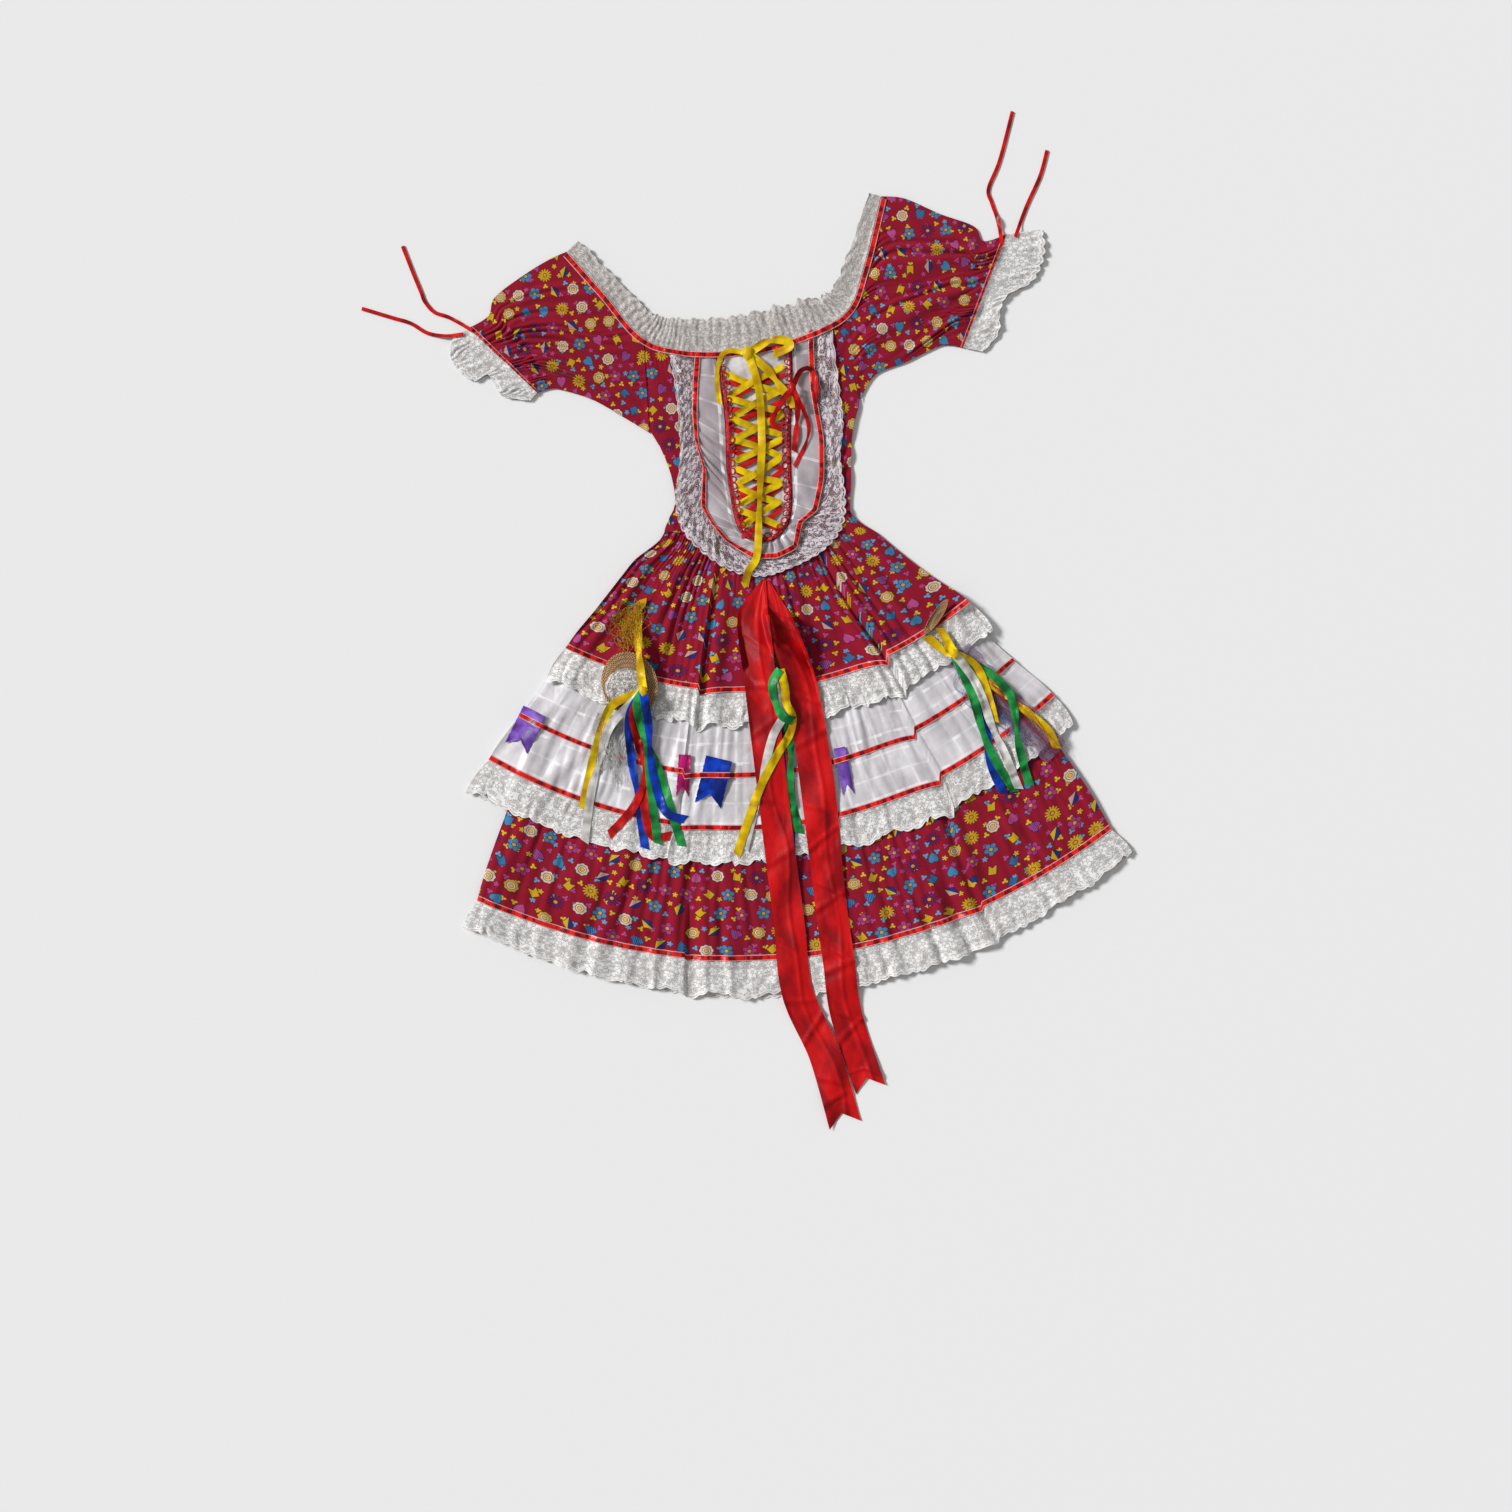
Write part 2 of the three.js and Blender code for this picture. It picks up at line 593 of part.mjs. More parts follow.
// Red ribbon round the cuff's edge, on the sleeve's last rows
function cuffTrim(side, sleeveGrid) {
  const [before, last] = sleeveGrid.slice(-2);
  const grid = [0, 1].map((k) => last.map((p, i) => {
    const inner = before[i];
    const t = (k * TRIM) / Math.hypot(p.x - inner.x, p.y - inner.y);
    const top = mix(p.top, inner.top, t) + GAP;
    return { x: mix(p.x, inner.x, t), y: mix(p.y, inner.y, t), z: top, top: top + WALL };
  }));
  keep({ name: `cuff_trim_${side}`, colour: COLOURS.trim, grid, roughness: 0.35 });
}

// Neck lace, standing out from the neckline: a plain back layer and a waved front layer
function neckLace(name, columns, lift) {
  const grid = layGrid(columns, 1, (s, t) => {
    const p = neckline(s);
    const out = outwards(s);
    const wave = waves(mix(-1, 1, s), 15, 0.3);
    const far = 2 * GAP + t * p.lace * (0.92 + 0.12 * wave);
    return { x: p.x + out.x * far, y: p.y + out.y * far, lift: lift * t * wave };
  });
  return { name, colour: COLOURS.lace, grid };
}

// The layers, from the floor up. Each tier of the skirt lies on those laid before it, with its
// trims on its own rows.
keep(...upperBack, bodice('bodice_back', [181, 94, 4, -37.6], 0), neckLace('neck_lace_back', 32, 0));
keep(...lacedTier(['ruffle_back', 'ruffle_lace_back'], COLOURS.organza, RUFFLE,
  [-232, -280, -331, -394], -436, BACK_COLUMNS, FLAT));
keep(...lacedTier(['skirt_lower_back', 'hem_lace_back'], COLOURS.print, LOWER,
  [-232, -290, -360, -420, -460, -500, -551], -598, BACK_COLUMNS, FLAT));

const lower = lacedTier(['skirt_lower_front', 'hem_lace_front'], COLOURS.print, LOWER,
  [-232, -331, -440, -551 + TRIM, -551], -598, 52,
  { count: 13, seed: 2.1, from: -420, to: -551, pleated: 0.4 });
keep(...lower);
sewOn('hem_trim', COLOURS.trim, lower[0].grid, 3, 4);

const ruffle = lacedTier(['ruffle_front', 'ruffle_lace_front'], COLOURS.organza, RUFFLE,
  [-232, -331 + TRIM, -331, -394 + TRIM, -394], -436, 56,
  { count: 15, seed: 0.9, from: -180, to: -394, pleated: 0.8 });
keep(...ruffle);
sewOn('ruffle_trim_high', COLOURS.trim, ruffle[0].grid, 1, 2);
sewOn('ruffle_trim_low', COLOURS.trim, ruffle[0].grid, 3, 4);

const upper = lacedTier(['skirt_upper_front', 'upper_lace_front'], COLOURS.print, UPPER,
  [-38, -90, -160, -229 + TRIM, -229], -273, 44,
  { count: 11, seed: 1.7, from: 20, to: -229, pleated: 1 });
const tubes = [sleeve('left'), sleeve('right'), cuffLace('left'), cuffLace('right')];
keep(...upper, bodice('bodice_front', [181, 94, 48, 4, -37.6], 1.4), neckLace('neck_lace_front', 48, 2.8));
tubes.forEach((grid) => record(grid));
sewOn('upper_trim', COLOURS.trim, upper[0].grid, 3, 4);
cuffTrim('left', tubes[0]);
cuffTrim('right', tubes[1]);

// The front panel. A band runs between two of its lines, a share of the way from one to the other.
function band(name, colour, from, to, columns, rows, lift = () => 0) {
  const grid = layGrid(columns, rows, (s, t) => {
    const [a, b] = [from(s), to(s)];
    return { x: mix(a.x, b.x, t), y: mix(a.y, b.y, t), lift: lift(s, t) };
  });
  return { name, colour, grid, roughness: 0.45 };
}
const towards = (line, target, distance) => (s) => {
  const [a, b] = [lineAt(line, s), lineAt(target, s)];
  const share = distance / Math.hypot(b.x - a.x, b.y - a.y);
  return { x: mix(a.x, b.x, share), y: mix(a.y, b.y, share) };
};

const satinGrid = layGrid(6, 6, (s, t) => {
  const a = lineAt(SATIN_EDGE, 0.485 * t);
  const b = lineAt(SATIN_EDGE, 1 - 0.485 * t);
  return { x: mix(a.x, b.x, s), y: mix(a.y, b.y, s) };
});
keep(
  band('panel_lace', COLOURS.lace, towards(ORGANZA_EDGE, LACE_EDGE, 0.5), (s) => lineAt(LACE_EDGE, s), 42, 1,
    (s, t) => 2.4 * t * waves(mix(-1, 1, s), 15, 1.1)),
  band('panel_organza', COLOURS.organza, (s) => lineAt(ORGANZA_EDGE, s),
    towards(SATIN_EDGE, ORGANZA_EDGE, 1.2), 28, 2,
    (s, t) => 4.8 * t * (1 - t) * waves(mix(-1, 1, s), 11, 0.5)),
  { name: 'panel_satin', colour: COLOURS.satin, grid: satinGrid, roughness: 0.35 },
);
keep(
  band('panel_trim', COLOURS.trim, (s) => lineAt(ORGANZA_EDGE, s),
    towards(ORGANZA_EDGE, SATIN_EDGE, TRIM), 26, 1),
  band('eyelet_trim', COLOURS.trim, (s) => lineAt(SATIN_EDGE, s), (s) => {
    const p = lineAt(SATIN_EDGE, s);
    const reach = BEADING / Math.hypot(p.x - 8, 0.4 * (p.y - 60));
    return { x: mix(p.x, 8, reach), y: mix(p.y, 60, 0.4 * reach) };
  }, 26, 1),
);

// Red ribbon round the neckline, over the top of the panel
keep({
  name: 'neck_trim',
  colour: COLOURS.trim,
  roughness: 0.35,
  grid: layGrid(32, 1, (s, t) => {
    const p = neckline(mix(0.006, 0.994, s));
    const out = outwards(s);
    return { x: p.x - out.x * t * TRIM, y: p.y - out.y * t * TRIM };
  }),
});

// A ribbon of one width along a path, laid on what is there
function ribbonGrid(path, width, columns, lift = 0) {
  const xs = path.map((p) => p[0]);
  const ys = path.map((p) => p[1]);
  const point = (t) => {
    const k = Math.min(1, Math.max(0, t)) * (path.length - 1);
    return { x: through(xs, k), y: through(ys, k) };
  };
  return layGrid(1, columns, (s, t) => {
    const [p, a, b] = [point(t), point(t - 0.02), point(t + 0.02)];
    const length = Math.hypot(b.x - a.x, b.y - a.y);
    const side = (s - 0.5) * width;
    return { x: p.x - (side * (b.y - a.y)) / length, y: p.y + (side * (b.x - a.x)) / length, lift };
  });
}

// Several closed geometries joined into one body
function solid(geometry) {
  const bare = geometry.clone();
  bare.deleteAttribute('normal');
  bare.deleteAttribute('uv');
  const merged = mergeVertices(bare, 1e-4);
  return new wasm.Manifold(new wasm.Mesh({
    numProp: 3,
    vertProperties: new Float32Array(merged.attributes.position.array),
    triVerts: new Uint32Array(merged.index.array),
  }));
}
function geometryOf(manifold) {
  const mesh = manifold.getMesh();
  const geometry = new THREE.BufferGeometry();
  geometry.setAttribute('position', new THREE.BufferAttribute(mesh.vertProperties, 3));
  geometry.setIndex(new THREE.BufferAttribute(mesh.triVerts, 1));
  return geometry;
}
function joined(name, colour, geometries, roughness) {
  const whole = geometries.map(solid).reduce((a, b) => a.add(b));
  const outside = whole.decompose().reduce((a, b) => (a.volume() > b.volume() ? a : b));
  add(name, colour, geometryOf(outside), roughness);
}

// A laced ribbon: from each pair of loops to the next one down, crossing over in the middle
function lacing(name, colour, width, drop) {
  const loops = (k) => {
    const t = k / LACING.rows;
    const y = mix(LACING.top, LACING.low, t) - drop;
    const middle = mix(LACING.left + LACING.right, -8, t) / 2;
    const half = ((LACING.right - LACING.left) / 2) * mix(1, LACING.narrow, t);
    return [{ x: middle - half, y }, { x: middle + half, y }];
  };
  const grids = [];
  for (let k = 0; k < LACING.rows; k++) {
    const [left, right] = loops(k);
    const [nextLeft, nextRight] = loops(k + 1);
    [[left, nextRight], [right, nextLeft]].forEach(([a, b], over) => {
      grids.push(layGrid(1, 2, (s, t) => (
        { x: mix(a.x, b.x, t), y: mix(a.y, b.y, t) + (s - 0.5) * width, lift: over * SUNK }
      )));
    });
  }
  joined(name, colour, grids.map(wallOf), 0.4);
  grids.forEach((grid) => record(grid));
}
lacing('lacing_red', COLOURS.red, RED_RIBBON, 7);
lacing('lacing_yellow', COLOURS.yellow, YELLOW_RIBBON, 0);

// A knot: a low rounded button with a flat underside
function knotGeometry(x, y, z, radius, height) {
  const profile = [[0, 0], [0.8, 0], [1, 0.35], [0.8, 0.8], [0, 1]];
  const points = profile.map(([r, h]) => new THREE.Vector2(r * radius, h * height));
  return new THREE.LatheGeometry(points, 10).rotateX(Math.PI / 2).translate(x, y, z);
}

// A bow: ribbons that start together under a knot and lie through each other, so that they are one body
function bow(name, colour, knot, radius, strips) {
  const [x, y] = knot;
  const floor = restingOn(x, y, radius + CELL);
  const grids = strips.map(({ path, width }, k) => (
    ribbonGrid([knot, ...path], width, Math.max(3, path.length), k * SUNK)
  ));
  const knotTop = Math.max(floor, ...grids.map((grid) => grid[0][0].top)) + 1.5;
  joined(name, colour, [...grids.map(wallOf), knotGeometry(x, y, floor, radius, knotTop - floor)], 0.4);
  grids.forEach((grid) => record(grid));
}

bow('bow_yellow', COLOURS.yellow, [4, 174], 8, [
  { path: [[30, 186], [50, 184], [54, 176], [34, 170]], width: YELLOW_RIBBON },
  { path: [[-16, 180], [-28, 174], [-36, 150], [-36, 118]], width: 6 },
  { path: [[26, 150], [53, 104]], width: YELLOW_RIBBON },
  { path: [[12, 130], [9, 70], [3, 30], [-3, -10], [-12, -66], [-24, -84], [-30, -100]], width: 9 },
]);
bow('bow_red', COLOURS.red, [52, 126], 6, [
  { path: [[64, 146], [78, 146], [80, 124], [78, 108]], width: 6 },
  { path: [[38, 112], [24, 90], [34, 80]], width: RED_RIBBON },
  { path: [[56, 104], [46, 52]], width: RED_RIBBON },
  { path: [[66, 86], [62, 62], [44, 34]], width: 5 },
]);

// Swallowtail flags on the ruffle
for (const { name, x, y, width, length, turn, colour } of FLAGS) {
  const angle = (turn * Math.PI) / 180;
  const grid = layGrid(2, 3, (s, t) => {
    const side = (s - 0.5) * width;
    const tail = Math.abs(s - 0.5) * 2;
    const down = t * length * (1 - 0.24 * (1 - tail) * (t > 0.9 ? 1 : 0));
    return {
      x: x + side * Math.cos(angle) + down * Math.sin(angle),
      y: y + side * Math.sin(angle) - down * Math.cos(angle),
    };
  });
  keep({ name, colour, grid, roughness: 0.4 });
}

// A small straw hat lying on the skirt: a flat brim round a low crown
function strawHat(name, { x, y, along, across: short, turn }) {
  const angle = (turn * Math.PI) / 180;
  let seat = 0;
  for (let far = 0; far <= 1; far += 0.1) {
    for (let k = 0; k < 24; k++) {
      const [i, j] = [short * far * Math.cos((k * Math.PI) / 12), along * far * Math.sin((k * Math.PI) / 12)];
      const [spotX, spotY] = [
        x + i * Math.cos(angle) - j * Math.sin(angle),
        y + i * Math.sin(angle) + j * Math.cos(angle),
      ];
      seat = Math.max(seat, restingOn(spotX, spotY, 2 * CELL));
    }
  }
  const profile = [[0, 0], [1, 0], [1, BRIM], [0.62, BRIM], [0.5, CROWN], [0, CROWN]];
  const points = profile.map(([r, h]) => new THREE.Vector2(r, h));
  const geometry = new THREE.LatheGeometry(points, 20).rotateX(Math.PI / 2).scale(short, along, 1);
  geometry.rotateZ(angle).translate(x, y, seat);
  add(name, COLOURS.straw, geometryOf(solid(geometry)), 0.8);
  const { position } = geometry.attributes;
  const corner = (k) => ({ x: position.getX(k), y: position.getY(k), z: position.getZ(k) });
  const { index } = geometry;
  for (let k = 0; k < index.count; k += 3) {
    raise(corner(index.getX(k)), corner(index.getX(k + 1)), corner(index.getX(k + 2)));
  }
}

for (const { name, hat, knot, tulle, tinsel, ribbons } of ORNAMENTS) {
  strawHat(`straw_hat_${name}`, hat);
  const bunch = (part, colour, { path, width }) => {
    keep({ name: `${part}_${name}`, colour, grid: ribbonGrid(path, width, 4), roughness: 0.5 });
  };
  bunch('tulle', COLOURS.tulle, tulle);
  if (tinsel) bunch('tinsel', COLOURS.tinsel, tinsel);
  bow(`ribbons_${name}`, COLOURS.yellow, knot, 7, ribbons.map((path) => ({ path, width: ORNAMENT_RIBBON })));
}

// The sash tails, over everything, with a swallowtail cut at each end
function sashTail(side) {
  const line = SASH[side];
  const at = (key, t) => through(line.map((p) => p[key]), t * (line.length - 1));
  const grid = layGrid(2, 20, (s, t) => {
    const [x, y, width] = [at('x', t), at('y', t), at('width', t)];
    const before = { x: at('x', Math.max(0, t - 0.02)), y: at('y', Math.max(0, t - 0.02)) };
    const after = { x: at('x', Math.min(1, t + 0.02)), y: at('y', Math.min(1, t + 0.02)) };
    const length = Math.hypot(after.x - before.x, after.y - before.y);
    const [dx, dy] = [(after.x - before.x) / length, (after.y - before.y) / length];
    const offset = (0.5 - s) * width;
    const back = t > 0.999 && s === 0.5 ? NOTCH : 0;
    return { x: x + dy * offset - dx * back, y: y - dx * offset - dy * back };
  });
  return { name: `sash_${side}`, colour: COLOURS.sash, grid, roughness: 0.3 };
}
keep(sashTail('left'), sashTail('right'));

// Thin ribbons that draw the sleeves in, lying free on the floor beyond the cuffs
for (const [side, path] of Object.entries(CORDS)) {
  const points = path.map(([x, y]) => new THREE.Vector3(x, y, 0));
  const curve = new THREE.CatmullRomCurve3(points);
  const grid = layGrid(1, CORD_STEPS, (s, t) => {
    const p = curve.getPoint(t);
    const d = curve.getTangent(t);
    const side = (s - 0.5) * CORD_RIBBON;
    return { x: p.x - side * d.y, y: p.y + side * d.x };
  });
  keep({ name: `sleeve_ribbon_${side}`, colour: COLOURS.red, grid, roughness: 0.4 });
}

export default dress;
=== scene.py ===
import math
import random

import bpy
import numpy as np
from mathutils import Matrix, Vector
from mathutils.bvhtree import BVHTree


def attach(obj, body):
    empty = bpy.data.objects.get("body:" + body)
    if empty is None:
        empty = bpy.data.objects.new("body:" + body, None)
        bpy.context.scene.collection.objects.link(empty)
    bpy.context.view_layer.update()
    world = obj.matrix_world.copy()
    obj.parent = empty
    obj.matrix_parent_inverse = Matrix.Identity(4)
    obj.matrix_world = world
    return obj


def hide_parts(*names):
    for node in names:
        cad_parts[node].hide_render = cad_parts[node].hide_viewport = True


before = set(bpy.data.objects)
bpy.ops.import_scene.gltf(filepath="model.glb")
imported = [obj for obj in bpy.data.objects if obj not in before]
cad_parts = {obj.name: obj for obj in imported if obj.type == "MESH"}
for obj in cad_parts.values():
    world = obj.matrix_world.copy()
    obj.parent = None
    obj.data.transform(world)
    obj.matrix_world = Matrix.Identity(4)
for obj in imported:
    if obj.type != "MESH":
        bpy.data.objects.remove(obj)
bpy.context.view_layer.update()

MM = 0.001

# Sizes below are in millimetres, in the dress's own frame. SHIFT moves it to the model's.
SHIFT = np.array([6.0, 204.9])

# The gap between layers, the thickness of each stuff and the radius of a loose thread
THREAD_GAP = 0.35
CLOTH = 0.35
RIBBON_THICK = 0.3
CORD_THICK = 0.6
STRAW_THICK = 1.0
THREAD_RADIUS = 0.2

# Widths of the sewn trim, of the ribbons on the hats and of those that draw the sleeves in
TRIM = 7.0
HAT_RIBBON = 10.0
CORD_RIBBON = 4.5

# The camera looks straight down. The photo is 1814 mm wide on the dress and turned by 6.4 degrees.
VIEW_CENTRE = (-40.0, -305.0)
VIEW_WIDTH = 1814.0
VIEW_TURN = math.radians(6.4)
LENS = 50.0
SENSOR = 36.0


def placed(x, y, z):
    """A point of the dress's frame in the model's, in metres."""
    return (x + SHIFT[0]) * MM, (y + SHIFT[1]) * MM, z * MM


def camera():
    data = bpy.data.cameras.new("view")
    data.lens = LENS
    data.sensor_width = SENSOR
    data.clip_end = 20
    eye = bpy.data.objects.new("view", data)
    eye.location = placed(*VIEW_CENTRE, VIEW_WIDTH * LENS / SENSOR)
    eye.rotation_euler = (0, 0, -VIEW_TURN)
    bpy.context.scene.collection.objects.link(eye)
    bpy.context.scene.camera = eye


camera()


# Curves and rows, as the solids have them


def curve(values, t):
    """A smooth value through a row of values at the place t, counted in values."""
    values, t = np.asarray(values, float), np.asarray(t, float)
    last = len(values) - 1
    i = np.clip(np.floor(t).astype(int), 0, last - 1)
    f = t - i
    p, q, r, s = (values[np.clip(i + step, 0, last)] for step in (-1, 0, 1, 2))
    return q + 0.5 * f * (r - p + f * (2 * p - 5 * q + 4 * r - s + f * (3 * (q - r) + s - p)))


def line_at(line, s):
    """The points on a line of (x, y) pairs, s from 0 at its start to 1 at its end."""
    t = np.asarray(s, float) * (len(line) - 1)
    return curve([p[0] for p in line], t), curve([p[1] for p in line], t)


def distance_along(x, y):
    """How far each of a row of points is from the first, along the row."""
    return np.concatenate([[0], np.cumsum(np.hypot(np.diff(x), np.diff(y)))])


def heading(x, y):
    """The direction of a row of points at each of them."""
    dx, dy = np.gradient(x), np.gradient(y)
    length = np.hypot(dx, dy)
    return dx / length, dy / length


def mix(a, b, t):
    return a + (b - a) * t


def bump(x, centre, width):
    """A soft hump that is 1 at centre."""
    return np.exp(-(((x - centre) / width) ** 2))


def ease(t):
    t = np.clip(t, 0, 1)
    return t * t * (3 - 2 * t)


# Rows: lowest y, half width, rise of the two ends, x of the middle
UPPER = [
    (-38, 112, 12, -7), (-95, 148, 38, -12), (-160, 194, 56, -12), (-229, 243, 77, -9), (-273, 269, 84, -8),
]
RUFFLE = [
    (-214, 226, 68, -10), (-262, 261, 78, -16), (-331, 299, 104, -18), (-394, 341, 120, -18),
    (-436, 366, 126, -22),
]
LOWER = [
    (-212, 214, 60, -10), (-331, 280, 84, -14), (-440, 333, 104, -10), (-551, 382, 111, -9),
    (-598, 403, 126, -6),
]
BODICE = [
    (94, 127, 6, 3), (76, 118, 4, 3.5), (55, 111.5, 2, 4.5), (30, 107.5, 2, 5), (4, 106, 2, 3.5),
    (-18, 109.5, 6, -3), (-37.6, 112, 12, -7),
]

# Tiers of the skirt: rows, lowest y at its top and its edge, lowest y of its lace, cloth, nodes of both
TIERS = {
    "upper_tier": (UPPER, (-38, -229), -273, "printed_cotton", ("skirt_upper", "upper_lace")),
    "ruffle_tier": (RUFFLE, (-232, -394), -436, "organza", ("ruffle", "ruffle_lace")),
    "lower_tier": (LOWER, (-232, -551), -598, "printed_cotton", ("skirt_lower", "hem_lace")),
}
LACE_TUCK = 0.4

# Deep pleats: place across, drop of the edge behind it, how far it fades and to which side
PLEATS = [(-0.37, 8, 0.14), (0.57, 12, -0.16)]

# Neckline: x, y, how far the lace stands out
NECKLINE = [
    (-198, 321, 20), (-158, 264, 24), (-119, 208, 34), (-67, 186, 42), (2, 180, 44),
    (64, 187, 44), (125, 210, 34), (152, 258, 26), (184, 345, 16),
]

# The neckline points where the armhole seams start
SEAM = {"left": 2, "right": 6}

# Sleeve rows: x and y at the fold, x and y at the underarm seam, bow
SLEEVES = {
    "left": [
        (-198, 321, -124, 94, 0), (-220, 314, -152, 116, 16), (-254, 298, -188, 142, 10),
        (-290, 276, -224, 158, 5), (-300, 255, -237, 160, 2), (-325, 243, -252, 157, 0),
    ],
    "right": [
        (184, 345, 131, 104, 0), (212, 339, 153, 133, 16), (252, 316, 190, 144, 10),
        (290, 297, 230, 158, 5), (300, 278, 244, 159, 2), (328, 283, 261, 154, 0),
    ],
}
CUFF_EDGES = {
    "left": [
        (-346, 232), (-351, 218), (-347, 200), (-328, 179), (-309, 184), (-300, 168), (-292, 156),
        (-262, 148),
    ],
    "right": [(372, 284), (373, 262), (366, 240), (352, 222), (322, 210), (311, 192), (306, 166), (285, 146)],
}

# Edges of the front panel's lace, organza and satin, from the neck round to the neck
LACE_EDGE = [
    (-91, 188), (-88, 150), (-88, 100), (-92, 55), (-103, 10), (-98, -28), (-72, -62), (-38, -86), (-4, -93),
    (32, -85), (68, -70), (94, -45), (102, -8), (101, 40), (109, 80), (109, 130), (108, 202),
]
ORGANZA_EDGE = [
    (-59, 182), (-65, 151), (-70, 114), (-71, 80), (-65, 46), (-72, 1), (-63, -22), (-49, -44), (-19, -69),
    (11, -73), (36, -64), (47, -34), (66, -21), (78, 16), (83, 63), (80, 121), (85, 195),
]
SATIN_EDGE = [
    (-34, 181), (-31, 140), (-32, 90), (-36, 40), (-35, 0), (-32, -24), (-26, -40), (-14, -49), (-2, -51),
    (10, -49), (21, -42), (30, -30), (36, -6), (39, 30), (44, 80), (52, 130), (56, 184),
]

# Lacing: highest and lowest crossing, their number, the two sides at the top, and how it narrows
LACING = {"top": 152, "low": -36, "rows": 7, "left": -23, "right": 42, "narrow": 0.62}

# Sash tails: x, y, width
SASH = {
    "left": [
        (-7, -96, 5), (-24, -135, 37), (-25, -222, 38), (-25, -354, 36), (-23, -502, 37), (-22, -592, 38),
        (2, -670, 38), (17, -757, 39),
    ],
    "right": [
        (-4, -97, 5), (3.5, -135, 25), (13.5, -180, 35), (24, -233, 37), (29, -344, 41), (29, -479, 38),
        (31, -560, 38), (33, -625, 38), (52, -718, 37),
    ],
}
NOTCH = 15.0

# Creases across each tail: how far along, how much they slant over the width, height
SASH_CREASES = {
    "left": [(60, 34, 0.9), (128, 6, 1.8), (190, -22, 0.8), (262, 14, 1.0), (345, -18, 0.9), (430, 26, 1.1),
             (505, 12, 1.4), (560, -24, 1.6), (604, 20, 1.3), (640, -10, 1.0)],
    "right": [(24, 30, 1.6), (44, 26, 1.4), (66, 38, 1.7), (92, 30, 1.2), (140, 18, 1.2), (205, -16, 0.9),
              (275, 12, 0.8), (330, -26, 1.4), (366, 22, 1.7), (402, -18, 1.6), (440, 30, 1.5),
              (478, -12, 1.2), (520, 24, 1.6), (560, -20, 1.3), (598, 16, 1.0)],
}

# Flags: node, x, y, width, length, turn in degrees, satin
FLAGS = [
    ("flag_purple_left", -297, -222, 30, 50, -33, "purple_satin"),
    ("flag_pink", -124, -294, 15, 50, -10, "pink_satin"),
    ("flag_blue", -84, -303, 32, 58, -20, "blue_satin"),
    ("flag_purple_right", 60, -306, 14, 58, 5, "purple_satin"),
]

# Straw hats: centre, half length along, half width across, turn; knot; width and path of the tulle; ribbons
# from the knot
HATS = {
    "left": {
        "hat": (-180, -203, 39, 33, 12), "knot": (-164, -214),
        "tulle": (42, [(-204, -238), (-210, -258), (-214, -278), (-212, -300)]),
        "ribbons": [
            ("yellow", [(-165, -190), (-164, -150), (-160, -114), (-150, -108)]),
            ("yellow", [(-200, -224), (-216, -245), (-230, -276), (-240, -305), (-253, -345)]),
            ("white", [(-208, -250), (-226, -290), (-240, -325), (-255, -384)]),
            ("blue", [(-184, -240), (-188, -285), (-186, -335), (-184, -400)]),
            ("red", [(-180, -240), (-178, -275), (-171, -308), (-179, -345), (-174, -385), (-152, -388)]),
            ("red", [(-166, -262), (-172, -309), (-192, -349), (-225, -379)]),
            ("green", [(-174, -229), (-170, -265), (-160, -297), (-153, -330), (-140, -402)]),
            ("green", [(-166, -270), (-169, -323), (-168, -396)]),
            ("blue", [(-163, -250), (-165, -294), (-161, -340), (-152, -362), (-132, -371)]),
        ],
    },
    "middle": {
        "hat": (-4, -206, 30, 24, 0), "knot": (0, -206),
        "tulle": (30, [(-2, -236), (-4, -262), (-6, -290)]),
        "ribbons": [
            ("blue", [(-10, -300), (-6, -360), (-11, -426)]),
            ("red", [(0, -290), (-3, -345), (-9, -396)]),
            ("green", [(2, -300), (-4, -350), (1, -402)]),
            ("white", [(-1, -240), (0, -258), (-17, -283), (-31, -319), (-46, -360), (-66, -414)]),
            ("yellow", [(3, -226), (3, -247), (9, -264), (2, -285), (-16, -308), (-42, -348), (-76, -420)]),
            ("green", [(-11, -221), (-10, -243), (-3, -262), (9, -268)]),
        ],
    },
    "right": {
        "hat": (192, -164, 25, 6, -40), "knot": (208, -211),
        "tulle": (34, [(214, -208), (240, -244), (276, -290), (318, -342)]),
        "ribbons": [
            ("blue", [(234, -290), (238, -347), (249, -382)]),
            ("green", [(224, -262), (234, -315), (248, -353), (263, -382)]),
            ("yellow", [(250, -252), (290, -292), (310, -314), (318, -336)]),
            ("green", [(243, -234), (262, -254), (271, -276), (273, -330), (281, -376)]),
            ("yellow", [(231, -225), (240, -250), (247, -296)]),
            ("white", [(226, -239), (236, -268), (243, -299), (256, -338), (268, -379)]),
            ("yellow", [(194, -203), (178, -186)]),
            ("yellow", [(202, -196), (195, -178)]),
        ],
    },
}

# Crowns: centre, half length along, half width across
CROWNS = {"left": (-186, -205, 21, 24), "right": (198, -194, 11, 14)}

# Loose threads: name, node, material, how many, path, spread, height
NET_THREADS = [
    ("net_threads", "tulle_left", "clear_thread", 40,
     [(-204, -236), (-212, -262), (-212, -292), (-206, -324)], 13, 3),
    ("tulle_red", "tulle_right", "red_thread", 40,
     [(206, -205), (232, -236), (282, -290), (330, -356)], 12, 1),
    ("tulle_blue", "tulle_right", "blue_thread", 52,
     [(208, -210), (226, -252), (256, -290), (288, -330)], 15, 1),
]
TINSEL_THREADS = [
    ("tinsel_gold", "tinsel_left", "tinsel_gold", 84,
     [(-160, -108), (-168, -124), (-178, -142), (-180, -168)], 14, 4),
    ("tinsel_copper", "tinsel_left", "tinsel_copper", 26, [(-176, -112), (-184, -134), (-190, -158)], 12, 4),
    ("tinsel_green", "tinsel_left", "tinsel_green", 16, [(-164, -108), (-176, -126), (-172, -150)], 14, 3),
]

